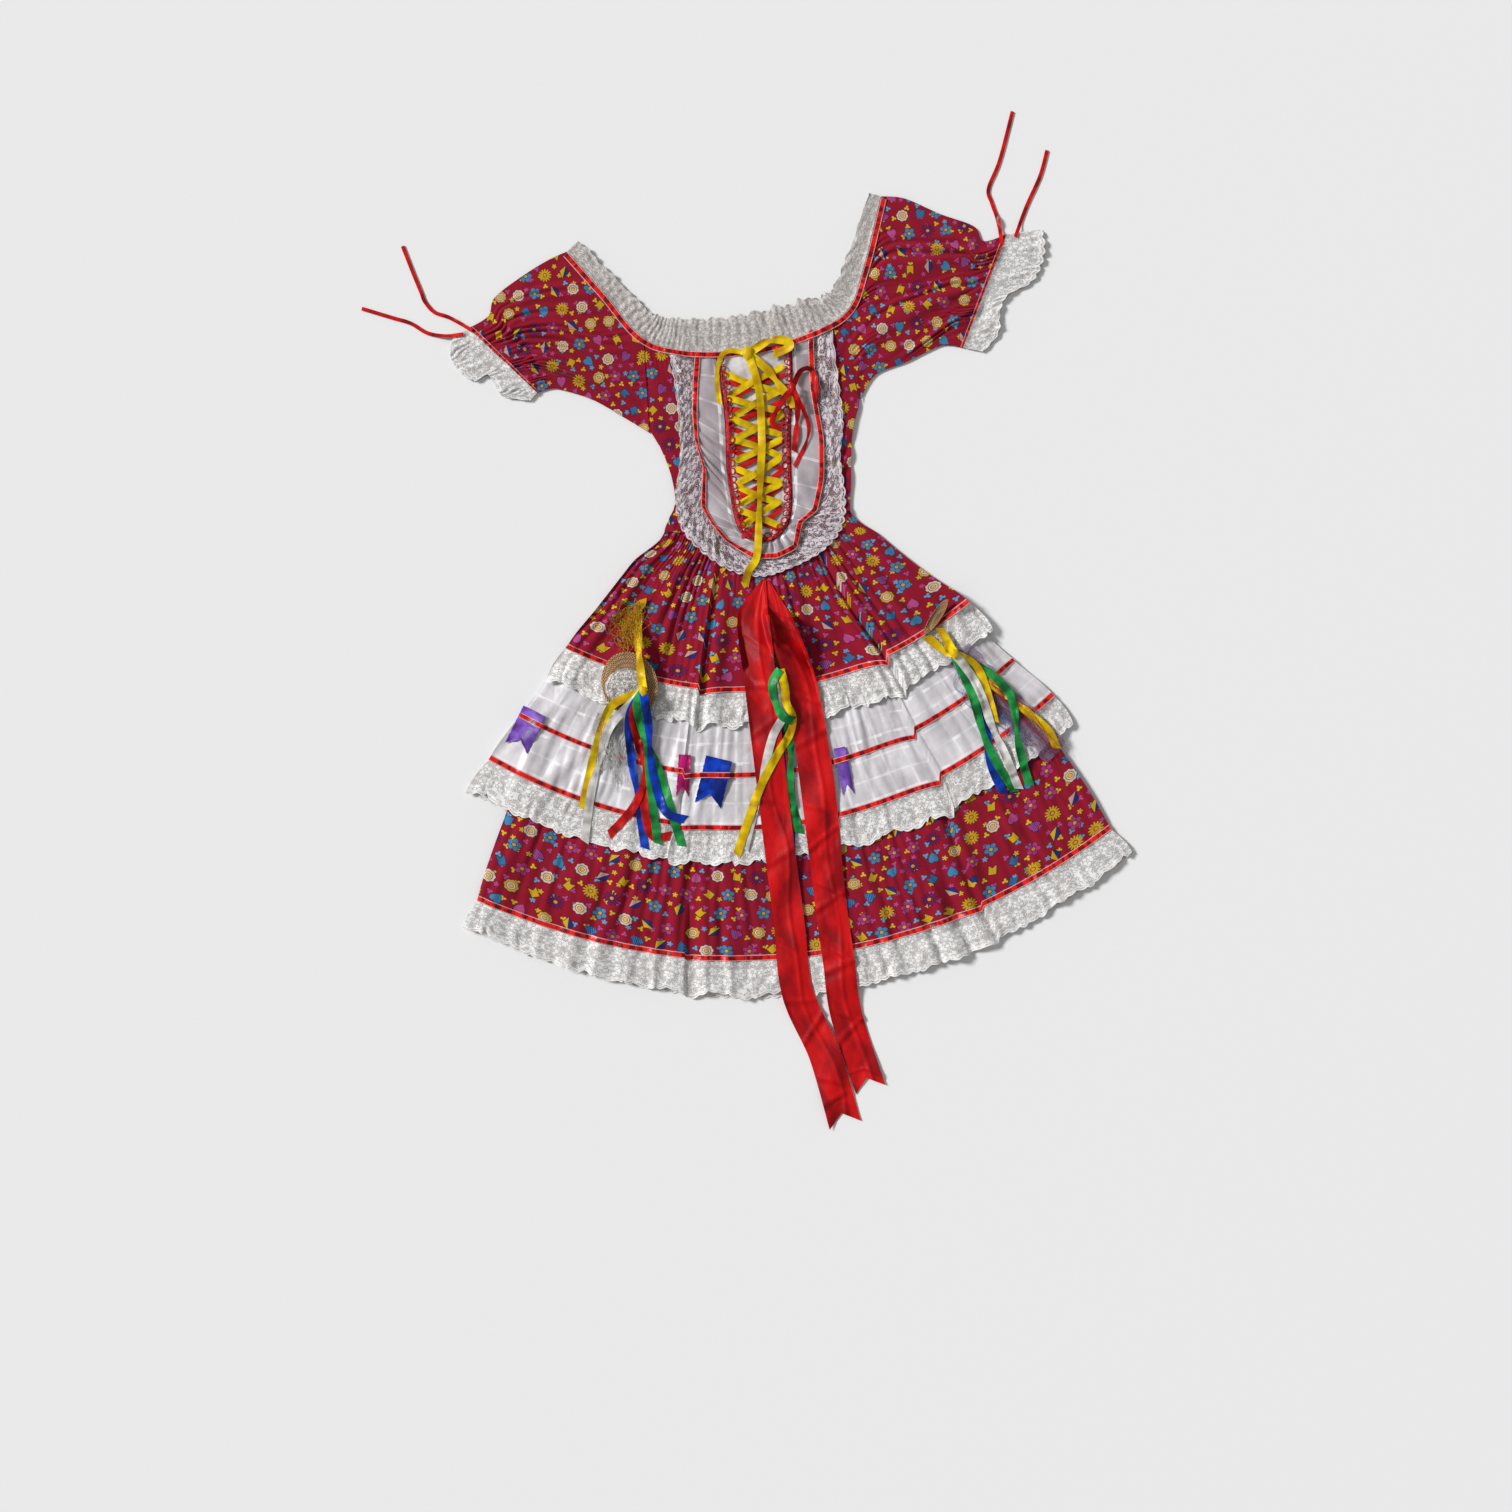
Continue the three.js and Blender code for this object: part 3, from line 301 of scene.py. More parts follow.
# Free ends of the ribbons that draw the sleeves in
CORDS = {
    "left_a": [(-321, 239), (-346, 258), (-364, 267), (-374, 281), (-377, 292), (-385, 320), (-393, 350)],
    "left_b": [(-332, 236), (-354, 237), (-375, 243), (-394, 257), (-415, 266), (-450, 281)],
    "right_a": [(321, 270), (320, 300), (315, 323), (313, 340), (330, 372), (352, 429)],
    "right_b": [(338, 278), (356, 314), (376, 348), (388, 378)],
}


def row_across(table, low, u, pleated=0.0):
    """Points across a skirt or bodice row, u from -1 at the left to 1 at the right."""
    low, u = np.broadcast_arrays(np.asarray(low, float), np.asarray(u, float))
    lows, halves, rises, mids = np.array(table, float).T
    k = sum((low < lows[j]).astype(int) for j in range(1, len(lows) - 1))
    t = k + (lows[k] - low) / (lows[k] - lows[k + 1])
    y = low + curve(rises, t) * u * u
    for at, drop, fade in PLEATS:
        beside = (u - at) / fade
        y = y - np.where(beside > 0, drop * pleated * np.exp(-np.maximum(beside, 0) * 2.2), 0)
    return curve(mids, t) + curve(halves, t) * u, y


def waves(u, count, seed):
    """The solids' own waves across a row, 0 in the troughs and 1 on the crests."""
    place = u + 0.05 * np.sin(3.1 * u + seed) + 0.03 * np.sin(7.3 * u + 2 * seed)
    crest = 0.5 + 0.5 * np.cos(np.pi * count * place + seed)
    return crest * (0.62 + 0.3 * np.sin(4.7 * u + seed) + 0.08 * np.sin(11 * u))


def wobble(t, seed, count, low=1.0, high=3.0):
    """A smooth uneven line between about -1 and 1, from a few waves of the count range given."""
    chance = random.Random(seed)
    total = 0
    for _ in range(count):
        total = total + np.sin(t * chance.uniform(low, high) * math.tau + chance.uniform(0, math.tau))
    return total / math.sqrt(count)


def gathers(place, down, count, seed, drift=0.4):
    """Gathered cloth: round crests with sharp valleys between, which wander and differ. place runs over the
    cloth from 0 to 1, down from the gathering to the free edge."""
    at = count * place + 0.9 * wobble(place, seed, 4, 1, 4)
    at = at + drift * down * wobble(place + 0.3 * down, seed + 1, 4, 1, 5)
    size = np.clip(0.62 + 0.38 * wobble(place + 0.1 * down, seed + 2, 5, 2, 0.4 * count), 0.08, 1.3)
    return size * (np.sqrt(np.sin(np.pi * at) ** 2 + 0.05) - 0.22) * 1.25


def pleat_steps(u):
    """The cloth rises to the edge of each deep pleat and drops behind it."""
    total = 0 * u
    for at, _, fade in PLEATS:
        beside = (u - at) / fade
        total = total + np.where(beside > 0, -2.4 * np.exp(-np.maximum(beside, 0) * 4),
                                 4.4 * np.exp(np.minimum(beside, 0) * 3)) - 4.5 * bump(beside, 0.03, 0.07)
    return total


# What has been laid so far, as a map of heights


CELL = 1.5
MOST_STEPS = 6
MAP_LEFT, MAP_LOW = -480.0, -800.0
HEIGHT = np.zeros((950, 640))


def cell_of(x, y):
    column = np.clip(((x - MAP_LEFT) / CELL).round().astype(int), 1, HEIGHT.shape[1] - 2)
    row = np.clip(((y - MAP_LOW) / CELL).round().astype(int), 1, HEIGHT.shape[0] - 2)
    return row, column


def height_at(x, y, reach=1):
    """The highest mark on the map within reach cells of each point."""
    row, column = cell_of(x, y)
    last_row, last_column = HEIGHT.shape[0] - 1, HEIGHT.shape[1] - 1
    top = np.zeros(np.shape(x))
    for j in range(-reach, reach + 1):
        for i in range(-reach, reach + 1):
            near_by = HEIGHT[np.clip(row + j, 0, last_row), np.clip(column + i, 0, last_column)]
            top = np.maximum(top, near_by)
    return top


def floor_at(x, y, reach):
    """The highest mark round one point."""
    return float(height_at(np.array([x]), np.array([y]), reach)[0])


def cover(x, y, z):
    """Marks a grid's top on the map, with points between the grid's own."""
    widest = max(np.hypot(np.diff(x, axis=way), np.diff(y, axis=way)).max() for way in (0, 1))
    steps = min(max(1, math.ceil(widest / CELL)), MOST_STEPS)
    for s in np.arange(steps + 1) / steps:
        for t in np.arange(steps + 1) / steps:
            point = [mix(mix(a[:-1, :-1], a[:-1, 1:], s), mix(a[1:, :-1], a[1:, 1:], s), t)
                     for a in (x, y, z)]
            np.maximum.at(HEIGHT, cell_of(point[0], point[1]), point[2])


# Heights above the dress to look down from, and to look for the nearest point from
ABOVE_ALL = 200
ABOVE = 60
TREES = {}


def tree_of(node):
    if node not in TREES:
        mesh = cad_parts[node].data
        points = [tuple(v.co / MM) for v in mesh.vertices]
        TREES[node] = BVHTree.FromPolygons(points, [tuple(p.vertices) for p in mesh.polygons])
    return TREES[node]


def top_of(node, x, y, step=3):
    """The height of a node's solid under each grid point, read at every few points."""
    tree = tree_of(node)
    rows = np.unique(np.append(np.arange(0, x.shape[0], step), x.shape[0] - 1))
    columns = np.unique(np.append(np.arange(0, x.shape[1], step), x.shape[1] - 1))
    read = np.empty((len(rows), len(columns)))
    for j, row in enumerate(rows):
        for i, column in enumerate(columns):
            px, py = x[row, column] + SHIFT[0], y[row, column] + SHIFT[1]
            hit = tree.ray_cast(Vector((px, py, ABOVE_ALL)), Vector((0, 0, -1)))[0]
            if hit is None:
                hit = tree.find_nearest(Vector((px, py, ABOVE)))[0]
            read[j, i] = hit.z
    wide = np.array([np.interp(np.arange(x.shape[1]), columns, line) for line in read])
    return np.array([np.interp(np.arange(x.shape[0]), rows, line) for line in wide.T]).T


def smooth(grid, passes=1):
    for _ in range(passes):
        padded = np.pad(grid, 1, mode="edge")
        grid = (padded[1:-1, 1:-1] * 4 + padded[:-2, 1:-1] + padded[2:, 1:-1]
                + padded[1:-1, :-2] + padded[1:-1, 2:]) / 8
    return grid


def settle(x, y, z, gap=THREAD_GAP, passes=6):
    """Lifts a grid clear of what lies below it, in soft slopes."""
    for _ in range(3):
        short = np.maximum(0, height_at(x, y) + gap + CLOTH - z)
        if short.max() < 0.01:
            break
        z = z + smooth(short, passes)
    return np.maximum(z, height_at(x, y) + gap + CLOTH)


# Meshes


SHARP = math.radians(62)


def grid_mesh(grids, thickness=CLOTH):
    """Vertices, faces and UVs of closed shells over grids of (x, y, z, u, v)."""
    points, faces, places = [], [], []
    for x, y, z, u, v in grids:
        rows, columns = x.shape
        start = len(points)
        for level in (z, z - thickness):
            points.extend(zip(*placed(x.ravel(), y.ravel(), level.ravel())))
            places.extend(zip(u.ravel(), v.ravel()))
        under = start + rows * columns
        at = np.arange(rows * columns).reshape(rows, columns)
        a, b, c, d = at[:-1, :-1].ravel(), at[:-1, 1:].ravel(), at[1:, 1:].ravel(), at[1:, :-1].ravel()
        quads = np.stack([a, d, c, b], 1)
        corner, beside, across = (points[start + k] for k in quads[0][:3])
        turned = ((beside[0] - corner[0]) * (across[1] - corner[1])
                  - (beside[1] - corner[1]) * (across[0] - corner[0]))
        if turned < 0:
            quads = quads[:, ::-1]
        faces.extend((quads + start).tolist())
        faces.extend((quads[:, ::-1] + under).tolist())
        rim = np.concatenate([at[0, :], at[1:, -1], at[-1, -2::-1], at[-2:0:-1, 0]])
        after = np.roll(rim, -1)
        walls = np.stack([rim + start, after + start, after + under, rim + under], 1)
        if quads[0][0] == a[0] and quads[0][1] == b[0]:
            walls = walls[:, ::-1]
        faces.extend(walls.tolist())
    return points, faces, places


def joined(parts):
    """Several meshes as one: vertices, faces and UVs."""
    points, faces, places = [], [], []
    for own_points, own_faces, own_places in parts:
        start = len(points)
        points.extend(own_points)
        places.extend(own_places)
        faces.extend([[i + start for i in face] for face in own_faces])
    return points, faces, places


def piece(name, points, faces, places, material, slot, nodes):
    """A mesh in place of its nodes, riding on the dress."""
    mesh = bpy.data.meshes.new(name)
    mesh.from_pydata(points, [], faces)
    layer = mesh.uv_layers.new(name="weave")
    order = np.empty(len(mesh.loops), dtype=np.int32)
    mesh.loops.foreach_get("vertex_index", order)
    layer.data.foreach_set("uv", np.array(places, dtype=np.float32)[order].ravel())
    mesh.polygons.foreach_set("use_smooth", [True] * len(mesh.polygons))
    mesh.materials.append(MATERIALS[material])
    mesh.validate()
    mesh.set_sharp_from_angle(angle=SHARP)
    made = bpy.data.objects.new(name, mesh)
    bpy.context.scene.collection.objects.link(made)
    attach(made, "root")
    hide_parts(*nodes)
    return made


def lay(node, x, y, fold, step=3, gap=THREAD_GAP, passes=6):
    """The heights of a grid laid on its solid's form, with folds, clear of what is below."""
    z = smooth(top_of(node, x, y, step), 2) + fold
    return settle(x, y, z, gap, passes)


def cloth(name, node, x, y, z, u, v, material, slot, held="laid", under=False):
    """A sheet of cloth in place of its node. With under it goes on beneath itself, as a sleeve does."""
    grids = [(x, y, z, u, v)]
    if under:
        grids.append((x[:, ::4], y[:, ::4], 0 * x[:, ::4] + 0.5, u[:, ::4], v[:, ::4] + 300))
    made = piece(name, *grid_mesh(grids), material, slot, [node])
    cover(x, y, z)


def trim(name, node, x, y, z, u, v, material, slot, thickness=CLOTH):
    """A narrow or stiff grid in place of its node, which isn't a sheet of its own."""
    piece(name, *grid_mesh([(x, y, z, u, v)], thickness), material, slot, [node])
    cover(x, y, z)


# Materials


def linear(code):
    """An sRGB hex colour as linear light."""
    channels = [int(code[i:i + 2], 16) / 255 for i in (1, 3, 5)]
    return tuple(c / 12.92 if c <= 0.04045 else ((c + 0.055) / 1.055) ** 2.4 for c in channels) + (1.0,)


def add(tree, kind, *inputs, out=0, **settings):
    """Adds a node with its inputs and settings and returns one of its outputs. The second word of kind, where
    it has one, is the node's operation."""
    kind, _, operation = kind.partition(" ")
    made = tree.nodes.new("ShaderNode" + kind)
    if operation:
        made.operation = operation
    for key, value in settings.items():
        setattr(made, key, value)
    for socket, value in zip(made.inputs, inputs):
        if isinstance(value, bpy.types.NodeSocket):
            tree.links.new(value, socket)
        elif value is not None:
            socket.default_value = value
    return made.outputs[out]


def finish_of(name, roughness, sheen=0.0, specular=0.5):
    """A new material: the material, its tree and its shader."""
    made = bpy.data.materials.new(name)
    made.use_nodes = True
    tree = made.node_tree
    shader = tree.nodes["Principled BSDF"]
    shader.inputs["Roughness"].default_value = roughness
    shader.inputs["Sheen Weight"].default_value = sheen
    shader.inputs["Specular IOR Level"].default_value = specular
    return made, tree, shader


def inside(tree, depth, soft=0.35):
    """1 where depth, in millimetres inside an outline, is above nothing, with a soft edge."""
    return add(tree, "Math DIVIDE", depth, soft, use_clamp=True)


def within(tree, value, low, high):
    """1 where value lies between low and high."""
    above = add(tree, "Math GREATER_THAN", value, low)
    return add(tree, "Math MULTIPLY", above, add(tree, "Math LESS_THAN", value, high))


def near(tree, value, target, reach):
    """1 where value lies within reach of target."""
    off = add(tree, "Math ABSOLUTE", add(tree, "Math SUBTRACT", value, target))
    return add(tree, "Math LESS_THAN", off, reach)


def petal_lines(tree, angle, width):
    """1 on five lines from a flower's middle, between its petals."""
    turned = add(tree, "Math COSINE", add(tree, "Math MULTIPLY", angle, 2.5))
    return add(tree, "Math LESS_THAN", add(tree, "Math ABSOLUTE", turned), width)


def streaks(tree, place, across, along, detail, roughness=0.5):
    """Noise that comes across and along times in 1 mm of the UVs."""
    scaled = add(tree, "VectorMath MULTIPLY", place, (across, along, 0))
    return add(tree, "TexNoise", scaled, None, 1.0, detail, roughness, noise_dimensions="2D")


def lobes(tree, angle, count, least, most):
    """The radius of an outline with round lobes."""
    turned = add(tree, "Math COSINE", add(tree, "Math MULTIPLY", angle, count / 2))
    turned = add(tree, "Math ABSOLUTE", turned)
    return add(tree, "Math MULTIPLY_ADD", turned, most - least, least)


def cells(tree, place, wide, tall, shift, loose, spin, seed):
    """Splits the cloth into cells: the place inside a cell in millimetres, loosely placed and turned, and
    two sets of chances that are the same all over a cell."""
    scaled = add(tree, "VectorMath MULTIPLY", place, (1 / wide, 1 / tall, 0))
    split = add(tree, "SeparateXYZ", scaled)
    x, y = split, split.node.outputs[1]
    row = add(tree, "Math FLOOR", y)
    x = add(tree, "Math MULTIPLY_ADD", row, shift, x)
    column = add(tree, "Math FLOOR", x)
    number = add(tree, "CombineXYZ", column, row, seed)
    chance = add(tree, "TexWhiteNoise", number, noise_dimensions="3D")
    three = add(tree, "SeparateColor", chance.node.outputs[1])
    at = []
    for value, whole, size, luck in ((x, column, wide, three), (y, row, tall, three.node.outputs[1])):
        inner = add(tree, "Math SUBTRACT", add(tree, "Math SUBTRACT", value, whole), 0.5)
        moved = add(tree, "Math MULTIPLY_ADD", add(tree, "Math SUBTRACT", luck, 0.5), -loose, inner)
        at.append(add(tree, "Math MULTIPLY", moved, size))
    turn = add(tree, "Math MULTIPLY", add(tree, "Math SUBTRACT", three.node.outputs[2], 0.5), spin)
    centred = add(tree, "CombineXYZ", *at, 0.0)
    local = add(tree, "VectorRotate", centred, None, None, turn, rotation_type="Z_AXIS")
    return local, chance, three


def polar(tree, local):
    split = add(tree, "SeparateXYZ", local)
    x, y = split, split.node.outputs[1]
    return x, y, add(tree, "VectorMath LENGTH", local, out=1), add(tree, "Math ARCTAN2", y, x)


# Pitch of the print's large motifs and of the small ones between them, and the share of the ink's colour seen
PRINT_CELL = 22.0
FILLER_CELL = 11.5
INK = 0.74


def ink(code):
    """A printed colour, duller than the ink's own because it sinks into the thread."""
    return tuple(channel * INK for channel in linear(code)[:3]) + (1.0,)


# Cotton poplin, plain woven and printed: matt, with a faint down, its colours dull and even. Its print has
# flowers, daisies, hearts, pennants, kites and rosettes.
def printed_cotton():
    made, tree, shader = finish_of("printed_cotton_poplin", 0.9, 0.08, 0.12)
    place = add(tree, "UVMap", uv_map="weave")
    local, chance, three = cells(tree, place, PRINT_CELL, PRINT_CELL, 0.37, 0.14, 1.9, 3.0)
    x, y, radius, angle = polar(tree, local)
    wide = add(tree, "Math ABSOLUTE", x)
    second, third = three.node.outputs[1], three.node.outputs[2]

    flower = add(tree, "Math SUBTRACT", lobes(tree, angle, 5, 4.2, 7.4), radius)
    daisy = add(tree, "Math SUBTRACT", lobes(tree, angle, 13, 4.0, 8.2), radius)
    lift = add(tree, "Math MULTIPLY", add(tree, "Math SQRT", wide), 1.9)
    high = add(tree, "Math ADD", add(tree, "Math SUBTRACT", y, lift), 1.6)
    bent = add(tree, "VectorMath LENGTH", add(tree, "CombineXYZ", x, high), out=1)
    heart = add(tree, "Math SUBTRACT", 5.4, bent)
    side = add(tree, "Math SUBTRACT", 4.0, wide)
    foot = add(tree, "Math MULTIPLY_ADD", side, -0.8, add(tree, "Math ADD", y, 5.4))
    head = add(tree, "Math SUBTRACT", 5.0, y)
    pennant = add(tree, "Math MINIMUM", side, add(tree, "Math MINIMUM", head, foot))
    tall = add(tree, "Math ABSOLUTE", y)
    slant = add(tree, "Math MULTIPLY_ADD", tall, 0.62, add(tree, "Math MULTIPLY", wide, 0.9))
    kite = add(tree, "Math SUBTRACT", 4.9, slant)
    rosette = add(tree, "Math SUBTRACT", lobes(tree, angle, 8, 6.2, 7.2), radius)

    # Share of each motif, its depth inside, and its two colours
    motifs = [
        (0.00, 0.27, flower, "#4C8FBE", "#BC3C82"), (0.27, 0.44, daisy, "#E0B020", "#6E1C58"),
        (0.44, 0.58, heart, "#4C8FBE", "#C45090"), (0.58, 0.71, pennant, "#E0B020", "#3C74A8"),
        (0.71, 0.84, kite, "#E8B820", "#E0A898"), (0.84, 1.00, rosette, "#E8D4BC", "#E0B020"),
    ]
    depth, fill, chosen = 0.0, None, {}
    for low, top, shape, first, other in motifs:
        here = within(tree, chance, low, top)
        chosen[low] = here
        depth = add(tree, "Math MULTIPLY_ADD", here, shape, depth)
        either = add(tree, "MixRGB", add(tree, "Math GREATER_THAN", second, 0.55), ink(first), ink(other))
        fill = either if fill is None else add(tree, "MixRGB", here, fill, either)

    # What is drawn inside them: the flower's petal lines, the kite's dark half, stripes on some hearts, the
    # rosette's rings and the eyes of flower and daisy
    petal = add(tree, "Math MULTIPLY", chosen[0.0], petal_lines(tree, angle, 0.16))
    fill = add(tree, "MixRGB", petal, fill, ink("#26305E"))
    half = add(tree, "Math MULTIPLY", add(tree, "Math GREATER_THAN", x, 0.0), chosen[0.71])
    fill = add(tree, "MixRGB", half, fill, ink("#27357E"))
    slanted = add(tree, "Math MULTIPLY", add(tree, "Math ADD", x, y), 2.6)
    stripes = add(tree, "Math GREATER_THAN", add(tree, "Math SINE", slanted), 0.25)
    striped = add(tree, "Math MULTIPLY", chosen[0.44], add(tree, "Math GREATER_THAN", third, 0.6))
    fill = add(tree, "MixRGB", add(tree, "Math MULTIPLY", stripes, striped), fill, ink("#2B3A8C"))
    rosettes, flowers = chosen[0.84], add(tree, "Math ADD", chosen[0.0], chosen[0.27])
    for motif, edge, code in (
        (rosettes, 4.9, "#F0AE92"), (rosettes, 4.4, "#2A2440"), (rosettes, 3.9, "#F3D9C4"),
        (rosettes, 2.6, "#2B3A8C"), (rosettes, 2.1, "#F0C428"), (flowers, 2.6, "#26244A"),
        (flowers, 1.9, "#E8A828"),
    ):
        round_spot = add(tree, "Math MULTIPLY", motif, add(tree, "Math LESS_THAN", radius, edge))
        fill = add(tree, "MixRGB", round_spot, fill, ink(code))

    # Small sprigs and stars between them, in three colours
    small, luck, trio = cells(tree, place, FILLER_CELL, FILLER_CELL, 0.43, 0.3, 6.0, 9.0)
    _, _, small_radius, small_angle = polar(tree, small)
    sprig = add(tree, "Math SUBTRACT", lobes(tree, small_angle, 3, 0.7, 3.4), small_radius)
    star = add(tree, "Math SUBTRACT", lobes(tree, small_angle, 5, 0.9, 3.2), small_radius)
    which = add(tree, "Math GREATER_THAN", trio, 0.5)
    sprigs = add(tree, "Math MULTIPLY", which, sprig)
    stars = add(tree, "Math MULTIPLY", add(tree, "Math SUBTRACT", 1.0, which), star)
    shape = add(tree, "Math ADD", sprigs, stars)
    there = add(tree, "Math GREATER_THAN", luck, 0.3)
    seen = add(tree, "Math MULTIPLY", inside(tree, shape), there)
    tint = ink("#C85090")
    for share, code in ((0.35, "#F0C428"), (0.7, "#6FB2DC")):
        other = add(tree, "Math GREATER_THAN", trio.node.outputs[1], share)
        tint = add(tree, "MixRGB", other, tint, ink(code))

    # The ground's own unevenness, a few centimetres across
    cloud = add(tree, "TexNoise", place, None, 0.035, 2.0, noise_dimensions="2D")
    ground = add(tree, "MixRGB", cloud, ink("#96122A"), ink("#B01C38"))
    edged = add(tree, "Math MULTIPLY", inside(tree, add(tree, "Math ADD", shape, 0.5)), there)
    colour = add(tree, "MixRGB", edged, ground, ink("#40183C"))
    colour = add(tree, "MixRGB", seen, colour, tint)
    colour = add(tree, "MixRGB", inside(tree, add(tree, "Math ADD", depth, 0.65)), colour, ink("#1C182E"))
    colour = add(tree, "MixRGB", inside(tree, depth), colour, fill)
    tree.links.new(colour, shader.inputs["Base Color"])
    weave(tree, shader, place, 1.1, 0.05)
    return made


def weave(tree, shader, place, pitch, depth):
    """Crossed threads as a fine relief. Real ones are 0.3 mm apart, too fine to show, so pitch is wider."""
    split = add(tree, "SeparateXYZ", place)
    threads = [add(tree, "Math SINE", add(tree, "Math MULTIPLY", way, math.tau / pitch))
               for way in (split, split.node.outputs[1])]
    crossed = add(tree, "Math MULTIPLY", *threads)
    tree.links.new(add(tree, "Bump", 0.35, depth * MM, None, crossed), shader.inputs["Normal"])


# Meshes of net in 1 mm, 1.8 mm wide, coarser than the real ones so that they show; pitch of the scallops
NET_SCALE = 0.55
SCALLOP = 12


# Raschel lace of cotton thread: a fine net with solid flowers, scallops at its free edge. UVs run along it
# and in from its free edge.
def lace(name, flower_code, net_code, hole_alpha, bloom_cell, thread):
    made, tree, shader = finish_of(name, 0.9, 0.1, 0.2)
    place = add(tree, "UVMap", uv_map="weave")
    split = add(tree, "SeparateXYZ", place)
    along, inward = split, split.node.outputs[1]
    net = add(tree, "TexVoronoi", place, None, NET_SCALE, feature="DISTANCE_TO_EDGE", voronoi_dimensions="2D")
    threads = add(tree, "Math LESS_THAN", net, thread)
    local, chance, _ = cells(tree, place, bloom_cell, 0.85 * bloom_cell, 0.5, 0.25, 6.2, 5.0)
    _, _, radius, angle = polar(tree, local)
    size = bloom_cell / 19.0
    grown = add(tree, "Math DIVIDE", radius, add(tree, "Math MULTIPLY_ADD", chance, 0.5, 0.7))
    bloom = add(tree, "Math SUBTRACT", lobes(tree, angle, 5, 3.4 * size, 8.4 * size), grown)
    solid = inside(tree, bloom, 0.6)
    drift = add(tree, "TexNoise", place, None, 1.3 / bloom_cell, 1.0, noise_dimensions="2D")
    vine = near(tree, drift, 0.5, 0.025)
    eye = near(tree, radius, 2.3 * size, 0.5)
    open_work = add(tree, "Math MAXIMUM", petal_lines(tree, angle, 0.2), eye)
    outline = inside(tree, add(tree, "Math ADD", bloom, 1.9), 0.3)
    outline = add(tree, "Math MULTIPLY", outline, add(tree, "Math LESS_THAN", bloom, -1.1))
    solid = add(tree, "Math MULTIPLY", solid, add(tree, "Math SUBTRACT", 1.0, open_work))
    wave = add(tree, "Math SINE", add(tree, "Math MULTIPLY", along, math.pi / SCALLOP))
    wave = add(tree, "Math ABSOLUTE", wave)
    scallop = add(tree, "Math MULTIPLY_ADD", wave, 2.4, add(tree, "Math SUBTRACT", inward, 2.6))
    rims = [near(tree, scallop, far, 0.8) for far in (0.8, 4.2)]
    dense = solid
    for work in (outline, *rims, vine):
        dense = add(tree, "Math MAXIMUM", dense, work)
    made_of = add(tree, "Math MAXIMUM", dense, add(tree, "Math MULTIPLY", threads, 0.85))
    alpha = add(tree, "Math MULTIPLY_ADD", made_of, 1 - hole_alpha, hole_alpha)
    alpha = add(tree, "Math MULTIPLY", alpha, add(tree, "Math GREATER_THAN", scallop, 0.0))
    tree.links.new(alpha, shader.inputs["Alpha"])
    colour = add(tree, "MixRGB", dense, linear(net_code), linear(flower_code))
    tree.links.new(colour, shader.inputs["Base Color"])
    tree.links.new(add(tree, "Bump", 0.6, 0.0005, None, made_of), shader.inputs["Normal"])
    return made


# Nylon organza with a satin check woven in: stiff and sheer, with faint stripes and shining squares where
# they cross.
def organza(name, code, stripe, alpha, check, line, stripe_share):
    made, tree, shader = finish_of(name, 0.4, 0.1, 0.5)
    place = add(tree, "UVMap", uv_map="weave")
    split = add(tree, "SeparateXYZ", place)
    scaled = [add(tree, "Math DIVIDE", way, check) for way in (split, split.node.outputs[1])]
    lines = [add(tree, "Math LESS_THAN", add(tree, "Math FRACT", at), line / check) for at in scaled]
    patches = add(tree, "TexNoise", place, None, 0.06, 1.0, noise_dimensions="2D")
    seen = add(tree, "MapRange", patches, 0.38, 0.6, 0.3, 1.0)
    either = add(tree, "Math MULTIPLY", add(tree, "Math MAXIMUM", *lines), seen)
    wide = [add(tree, "Math LESS_THAN", add(tree, "Math FRACT", at), size / check)
            for at, size in zip(scaled, (line * 3.6, line * 1.5))]
    number = add(tree, "CombineXYZ", *[add(tree, "Math FLOOR", at) for at in scaled])
    luck = add(tree, "TexWhiteNoise", number, noise_dimensions="2D")
    square = add(tree, "Math MULTIPLY", *wide)
    square = add(tree, "Math MULTIPLY", square, add(tree, "Math GREATER_THAN", luck, 0.5))
    shown = add(tree, "Math MAXIMUM", add(tree, "Math MULTIPLY", either, stripe_share), square)
    cloud = add(tree, "TexNoise", place, None, 0.03, 3.0, noise_dimensions="2D")
    clouded = add(tree, "MapRange", cloud, 0.35, 0.65, 0.0, 1.0)
    base = add(tree, "MixRGB", clouded, linear(code), linear(stripe))
    colour = add(tree, "MixRGB", shown, base, linear("#F4F2F4"))
    tree.links.new(colour, shader.inputs["Base Color"])
    tree.links.new(add(tree, "Math MULTIPLY_ADD", square, -0.2, 0.42), shader.inputs["Roughness"])
    tree.links.new(add(tree, "Math MULTIPLY_ADD", shown, 1 - alpha, alpha), shader.inputs["Alpha"])
    crushed = streaks(tree, place, 0.04, 0.022, 3.0, 0.45)
    crisp = add(tree, "Math ABSOLUTE", add(tree, "Math SUBTRACT", crushed, 0.5))
    tree.links.new(add(tree, "Bump", 0.4, 0.006, None, crisp), shader.inputs["Normal"])
    return made


